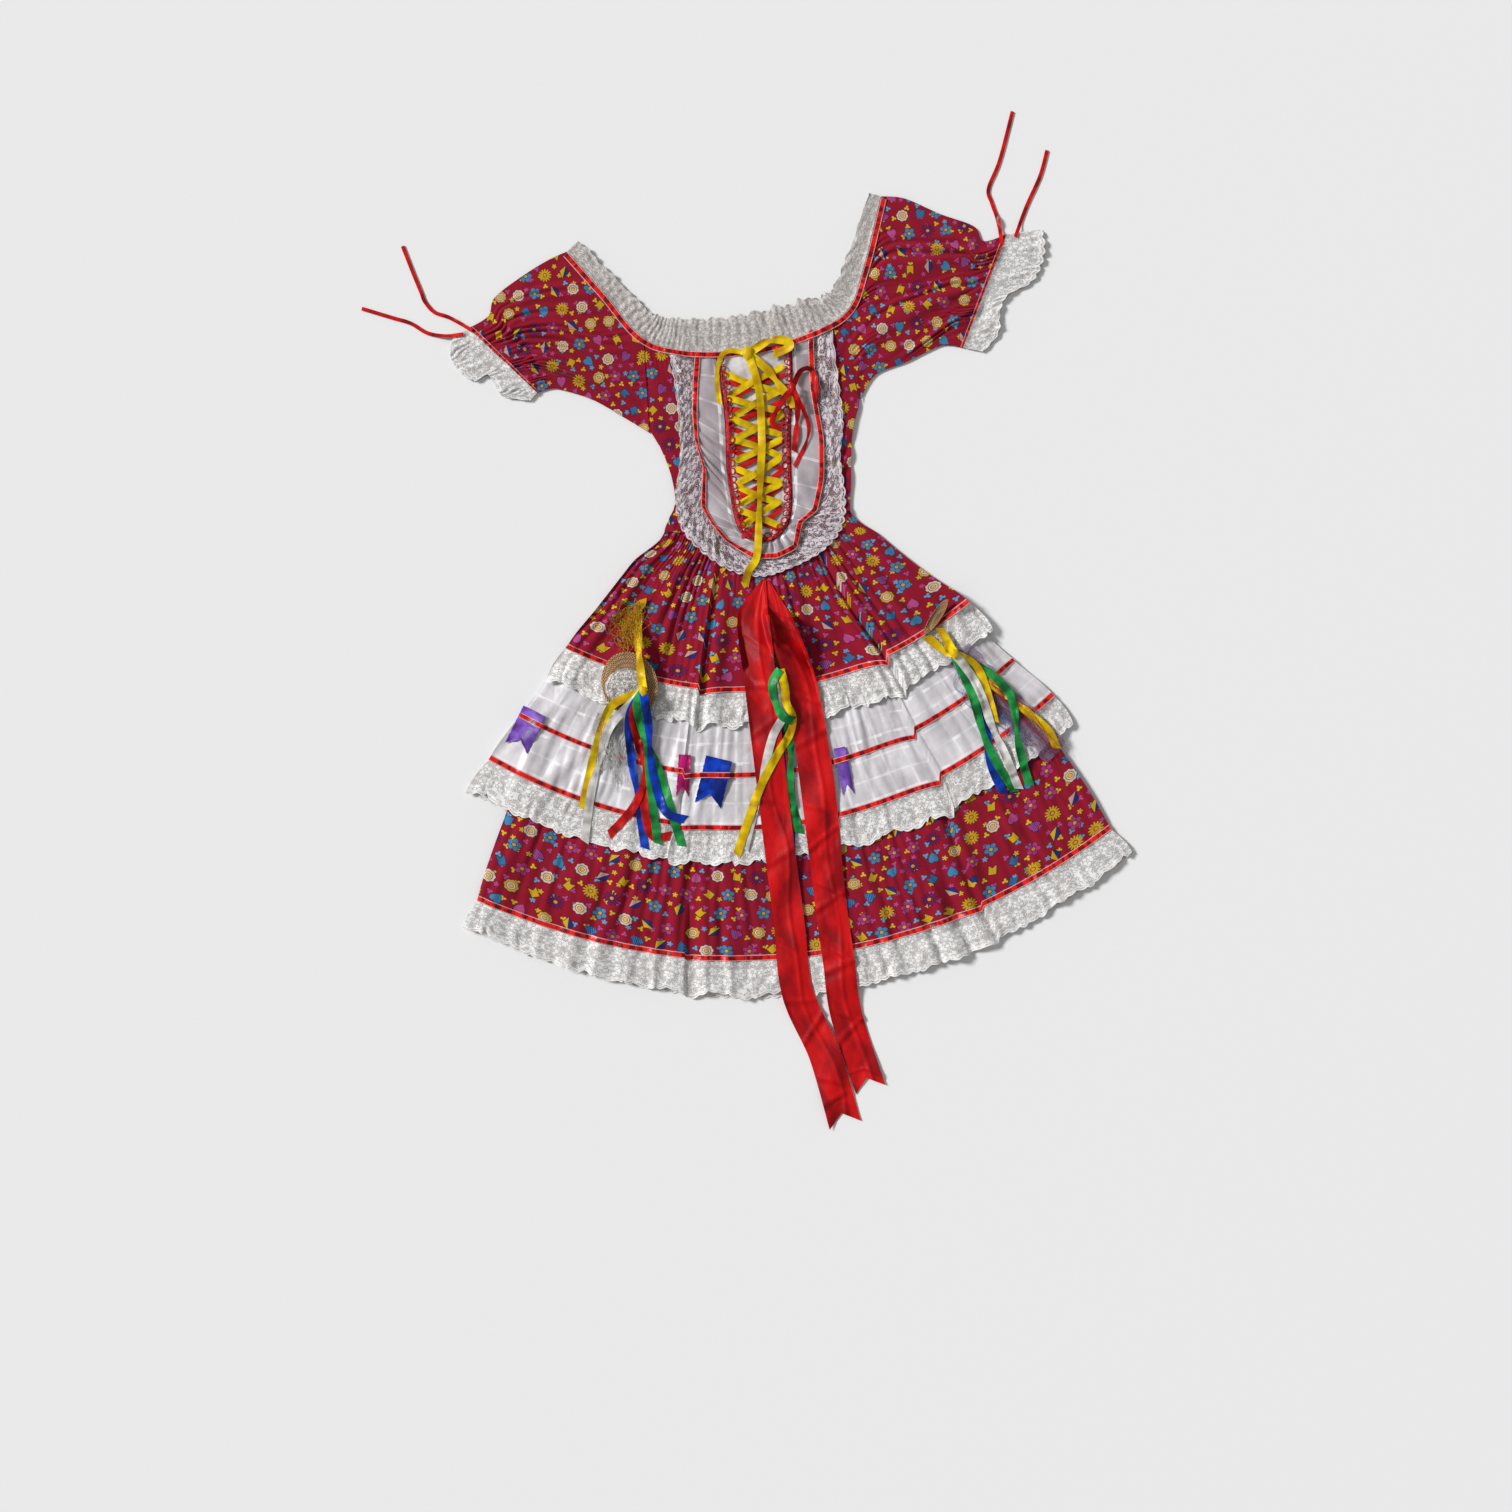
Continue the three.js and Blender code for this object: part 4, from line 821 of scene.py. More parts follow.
# Polyester satin: long floats on its face give it a soft shine that breaks at each crease, over a fine uneven
# grain. Its colour holds painted shade: dark, a painted shade, in the troughs of its creases and on its fine
# crinkles, and its own colour, code, on their crests. grain is how often the creases come in 1 mm across and
# along its UVs.
def satin(name, code, dark, grain, depth, roughness=0.34, sharpness=0.14, rim=None, detail=2.0):
    made, tree, shader = finish_of(name, roughness, 0.0, 0.2)
    place = add(tree, "UVMap", uv_map="weave")
    creases = streaks(tree, place, *grain, detail)
    # Painted shade in the creases' troughs and the satin's own colour on their crests, from the noise that
    # also gives their relief
    crease_light = add(tree, "MapRange", creases, 0.5 - sharpness, 0.5 + sharpness, 0.0, 1.0)
    fine = streaks(tree, place, 0.9, 0.35, 2.0, 0.6)
    colour = add(tree, "MixRGB", crease_light, linear(dark), linear(code))
    # Fine painted shade on the crinkles, from the noise that also roughens and bumps them
    crinkle_shade = add(tree, "MapRange", fine, 0.3, 0.7, 0.0, 0.22)
    colour = add(tree, "MixRGB", crinkle_shade, colour, linear(dark))
    if rim:
        split = add(tree, "SeparateXYZ", place)
        off = add(tree, "Math ABSOLUTE", add(tree, "Math SUBTRACT", split.node.outputs[1], TRIM / 2))
        loops = add(tree, "Math SINE", add(tree, "Math MULTIPLY", split, 3.2))
        loops = add(tree, "Math MULTIPLY", loops, 0.25)
        picot = add(tree, "Math GREATER_THAN", add(tree, "Math ADD", off, loops), TRIM / 2 - 0.85)
        colour = add(tree, "MixRGB", picot, colour, linear(rim))
    tree.links.new(colour, shader.inputs["Base Color"])
    rough = add(tree, "MapRange", fine, 0.2, 0.8, roughness - 0.06, roughness + 0.12)
    tree.links.new(rough, shader.inputs["Roughness"])
    height = add(tree, "Math MULTIPLY_ADD", fine, 0.12, creases)
    tree.links.new(add(tree, "Bump", 0.5, depth * MM, None, height), shader.inputs["Normal"])
    return made


# Plaited straw: flat stems crossed at a slant, dry and slightly shiny
def straw():
    made, tree, shader = finish_of("plaited_straw", 0.6, 0.0, 0.4)
    place = add(tree, "UVMap", uv_map="weave")
    split = add(tree, "SeparateXYZ", place)
    along, out = split, split.node.outputs[1]
    slants = [add(tree, "Math MULTIPLY_ADD", out, sign, along) for sign in (1.0, -1.0)]
    ways = [add(tree, "Math SINE", add(tree, "Math MULTIPLY", slant, 1.9)) for slant in slants]
    plait = add(tree, "Math MAXIMUM", *ways)
    rows = add(tree, "Math ABSOLUTE", add(tree, "Math SINE", add(tree, "Math MULTIPLY", out, math.pi / 5)))
    height = add(tree, "Math MULTIPLY", plait, rows)
    lit = add(tree, "MapRange", height, -0.2, 0.8, 0.0, 1.0)
    colour = add(tree, "MixRGB", lit, linear("#6E4A2C"), linear("#D0A878"))
    tree.links.new(colour, shader.inputs["Base Color"])
    tree.links.new(add(tree, "Bump", 0.8, 0.0008, None, height), shader.inputs["Normal"])
    return made


# Matt white paint on the floor
def white_paint():
    made, _, shader = finish_of("pale_floor", 0.9)
    shader.inputs["Base Color"].default_value = linear("#F4F4F4")
    return made


# Metallised film cut in threads: it mirrors the light in sparks, and along each thread its colour turns from
# dark, a painted shade, to code, painted glints. Only the colours differ: gold, copper and green in the
# tinsel, clear, red and blue in the nets.
def film(name, code, dark):
    made, tree, shader = finish_of(name, 0.25, 0.0, 0.5)
    shader.inputs["Metallic"].default_value = 0.25
    place = add(tree, "UVMap", uv_map="weave")
    # Painted glints and shade along each thread, where it twists
    glints_and_shade = add(tree, "MapRange", streaks(tree, place, 0.4, 0, 1.0), 0.4, 0.6, 0.0, 1.0)
    colour = add(tree, "MixRGB", glints_and_shade, linear(dark), linear(code))
    tree.links.new(colour, shader.inputs["Base Color"])
    return made


# Nylon tulle: a soft net, nearly clear, whiter where its folds double it
def tulle(name, code, shadow):
    made, tree, shader = finish_of(name, 0.4, 0.2, 0.5)
    place = add(tree, "UVMap", uv_map="weave")
    net = add(tree, "TexVoronoi", place, None, NET_SCALE, feature="DISTANCE_TO_EDGE", voronoi_dimensions="2D")
    threads = add(tree, "Math LESS_THAN", net, 0.12)
    doubled = streaks(tree, place, 0.12, 0.02, 2.0)
    thick = add(tree, "MapRange", doubled, 0.4, 0.65, 0.06, 0.32)
    alpha = add(tree, "Math MAXIMUM", add(tree, "Math MULTIPLY", threads, 0.7), thick)
    tree.links.new(alpha, shader.inputs["Alpha"])
    colour = add(tree, "MixRGB", doubled, linear(shadow), linear(code))
    tree.links.new(colour, shader.inputs["Base Color"])
    return made


# The second colour given to each satin and film is a painted shade: in the satins' creases and crinkles, and
# along the films' twisting threads
MATERIALS = {
    "printed_cotton": printed_cotton(),
    "satin_trim": satin("red_satin_trim", "#E8241C", "#7C0610", (0.13, 0.04), 0.6, 0.3, 0.06, "#D9A8A8"),
    "braid": satin("red_picot_braid", "#D81C2C", "#8C0818", (0.3, 0.3), 0.4, 0.5, 0.1),
    "satin_sash": satin("red_satin_sash", "#D60C10", "#94040E", (0.035, 0.02), 1.8, 0.52, 0.12, None, 4.0),
    "lace": lace("cotton_raschel_lace", "#ECEAE8", "#D8D4D2", 0.52, 15.0, 0.16),
    "neck_lace": lace("fine_neck_lace", "#D0CAC6", "#C0BAB5", 0.5, 13.0, 0.18),
    "panel_lace": lace("scalloped_panel_lace", "#D2C7CC", "#BFB3B8", 0.04, 18.0, 0.1),
    "crown_lace": lace("crown_lace", "#D8D4CE", "#A8A098", 0.3, 12.0, 0.2),
    "organza": organza("checked_organza", "#D0CBCE", "#E6E2E6", 0.93, 24.0, 2.6, 0.65),
    "sheer_organza": organza("sheer_checked_organza", "#BCB0B6", "#DCD4D8", 0.6, 26.0, 2.4, 0.6),
    "white_satin": satin("white_satin", "#ECE8E8", "#BEB6B6", (0.04, 0.05), 0.6),
    "yellow": satin("yellow_satin_ribbon", "#EED008", "#B88C04", (0.02, 0.05), 0.25),
    "white": satin("white_satin_ribbon", "#E8E6E2", "#A8A4A0", (0.02, 0.05), 0.25),
    "blue": satin("blue_satin_ribbon", "#0E48D0", "#082068", (0.02, 0.05), 0.25),
    "red": satin("red_satin_ribbon", "#DC1C18", "#8C060C", (0.02, 0.05), 0.25),
    "green": satin("green_satin_ribbon", "#2CA850", "#0C5C2C", (0.02, 0.05), 0.25),
    "purple_satin": satin("purple_satin", "#9468D4", "#5C3490", (0.05, 0.05), 0.4),
    "pink_satin": satin("pink_satin", "#C01870", "#840C4C", (0.05, 0.05), 0.4),
    "blue_satin": satin("blue_satin", "#1048D4", "#081E70", (0.05, 0.05), 0.4),
    "straw": straw(),
    "tulle_left": tulle("silver_tulle", "#D8D6D2", "#A8A6A2"),
    "tulle_middle": tulle("white_tulle", "#DAD8DA", "#B4B2B4"),
    "tulle_right": tulle("dyed_tulle", "#8890B4", "#906078"),
    "tinsel_gold": film("gold_film", "#F0C848", "#B07C18"),
    "tinsel_copper": film("copper_film", "#E87840", "#A83818"),
    "tinsel_green": film("green_film", "#A8C858", "#5C8428"),
    "clear_thread": film("clear_film", "#F0F0EE", "#C8C8C4"),
    "red_thread": film("red_film", "#D04C5C", "#A03850"),
    "blue_thread": film("blue_film", "#98A4CC", "#5C6090"),
}

# The slot of the solids that each colour of ribbon is in
SLOTS = dict.fromkeys(("yellow", "white", "blue", "green"), "yellow_ribbon") | {"red": "red_ribbon"}


# Cords first: flat satin ribbons that draw the sleeves in


def strip(path, width, step=2.0, columns=3, twist=None):
    """A ribbon's grid along a path of (x, y): x, y, distance across and distance along."""
    xs, ys = [p[0] for p in path], [p[1] for p in path]
    fine = np.linspace(0, len(path) - 1, 40 * len(path))
    px, py = curve(xs, fine), curve(ys, fine)
    far = distance_along(px, py)
    rows = max(4, int(far[-1] / step))
    t = np.interp(np.linspace(0, far[-1], rows + 1), far, fine)
    px, py = curve(xs, t), curve(ys, t)
    dx, dy = heading(px, py)
    shown = np.ones(rows + 1) if twist is None else twist(np.linspace(0, 1, rows + 1))
    side = np.linspace(-0.5, 0.5, columns + 1)[None, :] * width * shown[:, None]
    along = np.linspace(0, far[-1], rows + 1)[:, None] + 0 * side
    return px[:, None] - side * dy[:, None], py[:, None] + side * dx[:, None], side, along


def sleeve_cords():
    for name, path in CORDS.items():
        node = f"sleeve_ribbon_{name}"
        x, y, side, along = strip(path, CORD_RIBBON, 3.0, 2)
        z = smooth(top_of(node, x, y, 1), 2)
        made = piece(f"drawstring_{name}", *grid_mesh([(x, y, z, side, along)], CORD_THICK), "red",
                     "red_ribbon", [node])


sleeve_cords()


# Panels of the dress


def tier_grid(table, low_from, low_to, columns, rows, pleated):
    """A grid over part of a tier: x, y, u, lowest y, and the distances across and down."""
    u = np.linspace(-1, 1, columns + 1)[None, :]
    low = np.linspace(low_from, low_to, rows + 1)[:, None]
    x, y = row_across(table, low, u, pleated)
    u, low = np.broadcast_arrays(u, low)
    middle = (low_from + low_to) / 2
    reach = row_across(table, middle, 1.0)[0] - row_across(table, middle, 0.0)[0]
    return x, y, u, low, u * reach, -low


def sewn_ribbon(node, x, y, z, across, along, ruched=0.7):
    """A narrow ribbon over the rows of another grid, ruched along its length."""
    t = np.linspace(0, 1, x.shape[0])[:, None]
    puff = 4 * t * (1 - t) * (0.4 + ruched * gathers(across / 400 + 0.5, t, 62, 51, 0.1))
    z = settle(x, y, z + 0.3 + CLOTH + puff, 0.25, 1)
    trim(node + "_ribbon", node, x, y, z, across, along, "satin_trim", "satin_trim")


def tier(name, columns, rows, pleated, wave, fold, trims):
    """A tier of the skirt with its lace. Returns its trims, which are sewn on later: (node, grid)."""
    table, lows, lace_low, material, nodes = TIERS[name]
    x, y, u, low, across, down = tier_grid(table, *lows, columns, rows, pleated)
    node, lace_node = [f"{own}_front" for own in nodes]
    z = lay(node, x, y, fold(u, (low - lows[0]) / (lows[1] - lows[0])))
    cloth(name, node, x, y, z, across, down, material, material, "gathered")
    fine = 3 * columns // 2
    lx, ly, lu, llow, lacross, _ = tier_grid(table, lows[1] - LACE_TUCK, lace_low, fine, 14, pleated)
    t = (llow - llow[0, 0]) / (llow[-1, 0] - llow[0, 0])
    place = (lu + 1) / 2
    ly = ly + 9 * t * waves(lu, *wave) + 3 * t * (gathers(place, 0 * t, 40, 33) - 0.5)
    lx = lx + 2 * t * wobble(place, 35, 5, 10, 30)
    ripple = 1.3 * gathers(place, t, columns // 6, 31, 0.3) + 2.0 * gathers(place, t, 21, 32)
    lz = lay(lace_node, lx, ly, fold(lu, 1 + 0 * t) * 0.8 + ease(1.5 * t) * ripple)
    inward = (1 - t) * abs(lace_low - lows[1])
    cloth(name + "_lace", lace_node, lx, ly, lz, lacross, inward, "lace", "lace", "gathered")
    kept = []
    for node, bottom in trims:
        tx, ty, _, tlow, tacross, tdown = tier_grid(table, bottom + TRIM, bottom, columns, 4, pleated)
        share = (tlow - lows[0]) / (lows[1] - lows[0]) * rows
        below = np.array([np.interp(share[:, i], np.arange(rows + 1), z[:, i]) for i in range(columns + 1)]).T
        kept.append((node, (tx, ty, below, tacross, tdown - tdown.min(0))))
    return kept


def lower_folds(u, t):
    place = (u + 1) / 2
    held = 1 - 0.7 * bump(u, 0.0, 0.16)
    fine = 3.0 * (1 - 0.6 * t) * gathers(place, t, 58, 6)
    broad = 5.0 * ease(t) * gathers(place, t, 15, 3)
    middle = 3.0 * ease(2 * t) * gathers(place, t, 36, 4)
    return held * (fine + broad + middle + 0.4 * t * pleat_steps(u))


def ruffle_folds(u, t):
    place = (u + 1) / 2
    held = 1 - 0.6 * bump(u, 0.0, 0.26)
    return held * (1.6 * gathers(place, t, 46, 11) + (1.0 + 4.0 * t) * gathers(place, t, 15, 13)
                   + 0.7 * pleat_steps(u))


def upper_folds(u, t):
    place = (u + 1) / 2
    held = 1 - 0.4 * bump(u, 0.0, 0.2)
    fine = 2.2 * (1 - ease(1.5 * t)) * gathers(place, t, 52, 21)
    middle = (2.4 + 2.4 * ease(2 * t)) * gathers(place, t, 27, 23)
    broad = 4.2 * ease(1.3 * t) * gathers(place, t, 9, 25, 0.2)
    return held * (fine + middle + broad) + ease(1.5 * t + 0.3) * pleat_steps(u)


def skirt():
    """The three tiers, from the lowest. Returns the trims that cross the flags."""
    hem = tier("lower_tier", 320, 58, 0.4, (13, 2.1), lower_folds, [("hem_trim", -551)])
    flagged = tier("ruffle_tier", 380, 38, 0.8, (15, 0.9), ruffle_folds,
                   [("ruffle_trim_high", -331), ("ruffle_trim_low", -394)])
    waist = tier("upper_tier", 320, 54, 1.0, (11, 1.7), upper_folds, [("upper_trim", -229)])
    for node, grid in hem + waist:
        sewn_ribbon(node, *grid)
    return flagged


def flags():
    """Swallowtail flags, caught under the ruffle's ribbon. Their cut edges fray."""
    for node, x0, y0, width, length, turn, material in FLAGS:
        angle = math.radians(turn)
        s = np.linspace(0, 1, 21)[None, :]
        t = np.linspace(0, 1, 31)[:, None]
        notch = 0.24 * (1 - np.abs(s - 0.5) * 2) * ease((t - 0.6) / 0.4)
        fray = 0.5 * ease((t - 0.9) * 10) * wobble(s, 83, 6, 9, 19)
        side = (s - 0.5) * width + 0.35 * wobble(t, 84, 5, 5, 17) * np.sign(s - 0.5)
        down = t * length * (1 - notch) + fray
        x = x0 + side * math.cos(angle) + down * math.sin(angle)
        y = y0 + side * math.sin(angle) - down * math.cos(angle)
        creased = 1.6 + wobble(s + 0.4 * t, 85, 4, 0.4, 1.5)
        creased = creased + 0.8 * wobble(1.4 * t + 0.3 * s, 87, 4, 0.4, 1.6)
        z = lay(node, x, y, creased)
        cloth(node + "_satin", node, x, y, z, side + 0 * x, down + 0 * x, material, material)


# Bodice and sleeves


def neckline(t):
    k = np.asarray(t, float) * (len(NECKLINE) - 1)
    return tuple(curve([row[c] for row in NECKLINE], k) for c in range(3))


def outwards(t):
    (ax, ay, _), (bx, by, _) = neckline(np.maximum(0, t - 0.01)), neckline(np.minimum(1, t + 0.01))
    length = np.hypot(bx - ax, by - ay)
    return -(by - ay) / length, (bx - ax) / length


def bodice_rows(columns, rows):
    """Its top row is the neckline between the armhole seams. The others narrow to the waist in one curve."""
    s = np.linspace(0, 1, columns + 1)
    u = np.linspace(-1, 1, columns + 1)
    last = len(NECKLINE) - 1
    top = neckline(mix(SEAM["left"], SEAM["right"], s) / last)[:2]
    low = np.linspace(BODICE[0][0], BODICE[-1][0], rows * 3 // 5 + 1)
    lines = [row_across(BODICE, value, u) for value in low]
    upper = [(mix(top[0], lines[0][0], t), mix(top[1], lines[0][1], t))
             for t in np.linspace(0, 1, rows * 2 // 5 + 1)[:-1]]
    return np.array([line[0] for line in upper + lines]), np.array([line[1] for line in upper + lines]), s


def bodice():
    x, y, s = bodice_rows(160, 95)
    s = s[None, :]
    t = np.linspace(0, 1, x.shape[0])[:, None]
    sides = 0.25 + 0.75 * bump(s, 0, 0.28) + 0.75 * bump(s, 1, 0.28)
    waist = 1.4 * ease((t - 0.75) * 4) * gathers(s, t, 36, 61)
    neck = 1.3 * bump(t, 0, 0.14) * gathers(s, t, 52, 62)
    slanted = 4.0 * gathers(0.5 * s + 0.35 * t * np.sign(s - 0.5) + 0.2, t, 9, 63) * np.sin(np.pi * t)
    z = lay("bodice_front", x, y, sides * (waist + slanted) + neck)
    cloth("bodice_cloth", "bodice_front", x, y, z, x, y, "printed_cotton", "printed_cotton")


SLEEVE_COLUMNS = 140
SLEEVE_ROWS = 88


def sleeve_rows(side):
    """The lines across a sleeve from the body to the cuff."""
    sign = -1 if side == "left" else 1
    s = np.linspace(0, 1, SLEEVE_COLUMNS + 1)
    last = len(NECKLINE) - 1
    corner = neckline(SEAM[side] / last)
    high = s < 0.5
    nx, ny, _ = neckline(mix(0 if side == "left" else 1, SEAM[side] / last, s * 2))
    t = (s - 0.5) * 2
    first = SLEEVES[side][0]
    x = np.where(high, nx + sign * 0.3, mix(corner[0], first[2], t) - sign * 0.6)
    y = np.where(high, ny, mix(corner[1], first[3], t))
    lines = [(x, y)]
    for top_x, top_y, end_x, end_y, bow in SLEEVES[side][1:]:
        bowed = 4 * s * (1 - s) * bow
        lines.append((mix(top_x, end_x, s) - sign * bowed, mix(top_y, end_y, s) - 0.6 * bowed))
    return lines


def sleeve(side):
    lines = sleeve_rows(side)
    k = np.linspace(0, len(lines) - 1, SLEEVE_ROWS + 1)
    x, y = (np.array([curve([line[c][i] for line in lines], k) for i in range(SLEEVE_COLUMNS + 1)]).T
            for c in (0, 1))
    s = np.linspace(0, 1, SLEEVE_COLUMNS + 1)[None, :]
    t = np.linspace(0, 1, SLEEVE_ROWS + 1)[:, None]
    seed = 41 if side == "left" else 47
    held = ease(6 * s) * ease(6 * (1 - s))
    drawn = 3.2 * bump(t, 0.82, 0.22) * gathers(s, t, 15, seed)
    fanned = gathers(s * (1 + 0.5 * t) + 0.15 * t, t, 6, seed + 3)
    radiating = 5.0 * np.sin(np.pi * np.clip(t, 0, 1)) ** 0.7 * fanned
    armhole = 2.2 * bump(t, 0, 0.25) * gathers(s, t, 12, seed + 5)
    z = lay(f"sleeve_{side}", x, y, held * (drawn + radiating + armhole) + 0.1)
    cloth(f"sleeve_cloth_{side}", f"sleeve_{side}", x, y, z, x, y, "printed_cotton", "printed_cotton",
          under=True)
    before = SLEEVES[side][-2]
    last = SLEEVES[side][-1]
    share = TRIM / math.hypot(last[0] - before[0], last[1] - before[1])
    keep = slice(SLEEVE_ROWS - max(3, int(share * SLEEVE_ROWS / (len(lines) - 1))), SLEEVE_ROWS + 1)
    tall = np.linspace(0, TRIM, x[keep].shape[0])[:, None]
    sewn_ribbon(f"cuff_trim_{side}", x[keep], y[keep], z[keep], s * 150 + 0 * x[keep], tall + 0 * x[keep])
    seam = [(last[0], last[1]), (last[2], last[3])]
    s = np.linspace(0, 1, SLEEVE_COLUMNS + 1)
    ax, ay = line_at(seam, s)
    bx, by = line_at(CUFF_EDGES[side], s)
    t = np.linspace(0.01, 1, 17)[:, None]
    ripple = ease(1.5 * t) * (1.8 * gathers(s[None, :], t, 15, 71) + 1.2 * gathers(s[None, :], t, 5, 73))
    x, y = mix(ax, bx, t), mix(ay, by, t)
    z = lay(f"cuff_lace_{side}", x, y, ripple + 0.6)
    cloth(f"cuff_frill_{side}", f"cuff_lace_{side}", x, y, z, s[None, :] * 170 + 0 * x, (1 - t) * 40 + 0 * x,
          "lace", "lace", "gathered", under=True)


def neck_frill(name, node, columns, ripple, drop=0.0):
    """Lace that stands out round the neckline."""
    s = np.linspace(0, 1, columns + 1)
    px, py, lace = neckline(s)
    ox, oy = outwards(s)
    t = np.linspace(0, 1, 17)[:, None]
    far = 0.6 + t * lace * (0.92 + 0.12 * waves(mix(-1, 1, s), 15, 0.3) + 0.03 * wobble(s, 56, 5, 20, 44))
    x, y = px + ox * far, py + oy * far
    fine, broad = gathers(s[None, :], t, 60, 55, 0.2), ease(t) * gathers(s[None, :], t, 17, 57)
    z = lay(node, x, y, ripple * (1.5 * fine + 1.9 * broad) - drop)
    cloth(name, node, x, y, z, s[None, :] * 520 + 0 * x, (1 - t) * 40 + 0 * x, "neck_lace", "lace",
          "gathered")


def neck_ribbon():
    s = np.linspace(0.006, 0.994, 421)
    px, py, _ = neckline(s)
    ox, oy = outwards(s)
    t = np.linspace(0, 1, 5)[:, None]
    x, y = px - ox * t * TRIM, py - oy * t * TRIM
    z = lay("neck_trim", x, y, 4 * t * (1 - t) * 1.1 * gathers(s[None, :], t, 96, 59, 0.1), gap=0.2)
    trim("neck_ribbon", "neck_trim", x, y, z, s[None, :] * 480 + 0 * x, t * TRIM + 0 * x, "satin_trim",
         "satin_trim")


def backs():
    """The plain backs, flat on the floor or on each other."""
    for name, (table, lows, lace_low, material, nodes) in TIERS.items():
        node, lace_node = [f"{own}_back" for own in nodes]
        x, y, u, _, across, down = tier_grid(table, *lows, 60, 14, 0)
        z = top_of(node, x, y) + 0.15 * wobble(u, 93, 5, 2, 9) - CLOTH
        cloth(f"{name}_back", node, x, y, z, across, down, material, material)
        x, y, u, low, across, _ = tier_grid(table, lows[1] - LACE_TUCK, lace_low, 120, 5, 0)
        z = top_of(lace_node, x, y) + 0.15 * wobble(u, 95, 5, 4, 15) - CLOTH
        cloth(f"{name}_back_lace", lace_node, x, y, z, across, low - lace_low, "lace", "lace")
    x, y, _ = bodice_rows(40, 20)
    z = top_of("bodice_back", x, y) - CLOTH
    cloth("bodice_cloth_back", "bodice_back", x, y, z, x, y, "printed_cotton", "printed_cotton")
    neck_frill("neck_frill_back", "neck_lace_back", 120, 0.0, 0.35)


backs()
flagged_trims = skirt()
flags()
for node, grid in flagged_trims:
    sewn_ribbon(node, *grid)
bodice()
for side in ("left", "right"):
    sleeve(side)
neck_frill("neck_frill", "neck_lace_front", 420, 1.0)


# Front panel


def angular(line, s):
    """Along a line with soft corners, as a ribbon sewn round in short straight runs."""
    at = s * (len(line) - 1)
    straight = [np.interp(at, range(len(line)), [p[c] for p in line]) for c in (0, 1)]
    return tuple(mix(a, b, 0.3) for a, b in zip(straight, line_at(line, s)))


def band(name, node, start, end, columns, rows, fold, material, slot, round_it, wide, narrow=False):
    """A band between two lines: start and end are (x, y) along it."""
    s = np.linspace(0, 1, columns + 1)
    t = np.linspace(0, 1, rows + 1)[:, None]
    x, y = mix(start[0], end[0], t), mix(start[1], end[1], t)
    below = smooth(height_at(x, y), 4) + THREAD_GAP + CLOTH
    z = settle(x, y, np.maximum(smooth(top_of(node, x, y), 2), below) + fold(s[None, :], t))
    places = (s[None, :] * round_it + 0 * x, (t if wide > 0 else t - 1) * wide + 0 * x)
    put = trim if narrow else cloth
    put(name, node, x, y, z, *places, material, slot)


def shifted(line, target, distance):
    """The line moved towards another one."""
    (ax, ay), (bx, by) = line, target
    share = distance / np.hypot(bx - ax, by - ay)
    return mix(ax, bx, share), mix(ay, by, share)


def panel():
    s = np.linspace(0, 1, 361)
    outer, edge, inner = line_at(LACE_EDGE, s), angular(ORGANZA_EDGE, s), line_at(SATIN_EDGE, s)
    band("panel_frill", "panel_lace", shifted(edge, outer, 0.5), outer, 360, 14,
         lambda a, b: ease(1.5 * b) * (1.8 * gathers(a, b, 52, 65) + 2.2 * gathers(a, b, 15, 67)) + 0.3,
         "panel_lace", "lace", 640, -34)
    band("organza_band", "panel_organza", edge, shifted(inner, edge, 1.2), 360, 14,
         lambda a, b: 5.5 * (0.3 + 2.8 * b * (1 - b)) * gathers(a, b, 19, 61, 0.1),
         "sheer_organza", "organza", 560, 32)
    columns, rows = 50, 90
    t = np.linspace(0, 0.485, rows + 1)
    (ax, ay), (bx, by) = line_at(SATIN_EDGE, t), line_at(SATIN_EDGE, 1 - t)
    across = np.linspace(0, 1, columns + 1)[None, :]
    x, y = mix(ax[:, None], bx[:, None], across), mix(ay[:, None], by[:, None], across)
    creased = 0.8 * gathers(across + 0.3 * y / 200, y / 200, 5, 73)
    creased = creased + 0.5 * gathers(y / 200 + 0.2 * across, across, 9, 75)
    z = lay("panel_satin", x, y, creased)
    cloth("satin_middle", "panel_satin", x, y, z, x, y, "white_satin", "white_satin")
    band("panel_ribbon", "panel_trim", edge, shifted(edge, inner, TRIM), 360, 4,
         lambda a, b: 0.5 + 6 * b * (1 - b) * gathers(a, b, 84, 77, 0.1),
         "satin_trim", "satin_trim", 560, TRIM, True)


# Width of the braid, and the pitch, segments and sides of its loops
BRAID = 3.6
LOOP_PITCH = 10.0
LOOP_SEGMENTS = 16
LOOP_SIDES = 6


def ring(x, y, z, long, wide, turn, thick):
    """A flat loop of thread: points, faces and UVs."""
    points, faces, places = [], [], []
    for k in range(LOOP_SEGMENTS):
        a = math.tau * k / LOOP_SEGMENTS
        for i in range(LOOP_SIDES):
            b = math.tau * i / LOOP_SIDES
            out = 1 + thick * math.cos(b) / wide
            p, q = long * out * math.cos(a), wide * out * math.sin(a)
            points.append(placed(x + p * math.cos(turn) - q * math.sin(turn),
                                 y + p * math.sin(turn) + q * math.cos(turn),
                                 z + thick * (0.8 + 0.8 * math.sin(b))))
            places.append((a * long, b * thick))
            here, after = k * LOOP_SIDES, (k + 1) % LOOP_SEGMENTS * LOOP_SIDES
            beside = (i + 1) % LOOP_SIDES
            faces.append([here + i, after + i, after + beside, here + beside])
    return points, faces, places


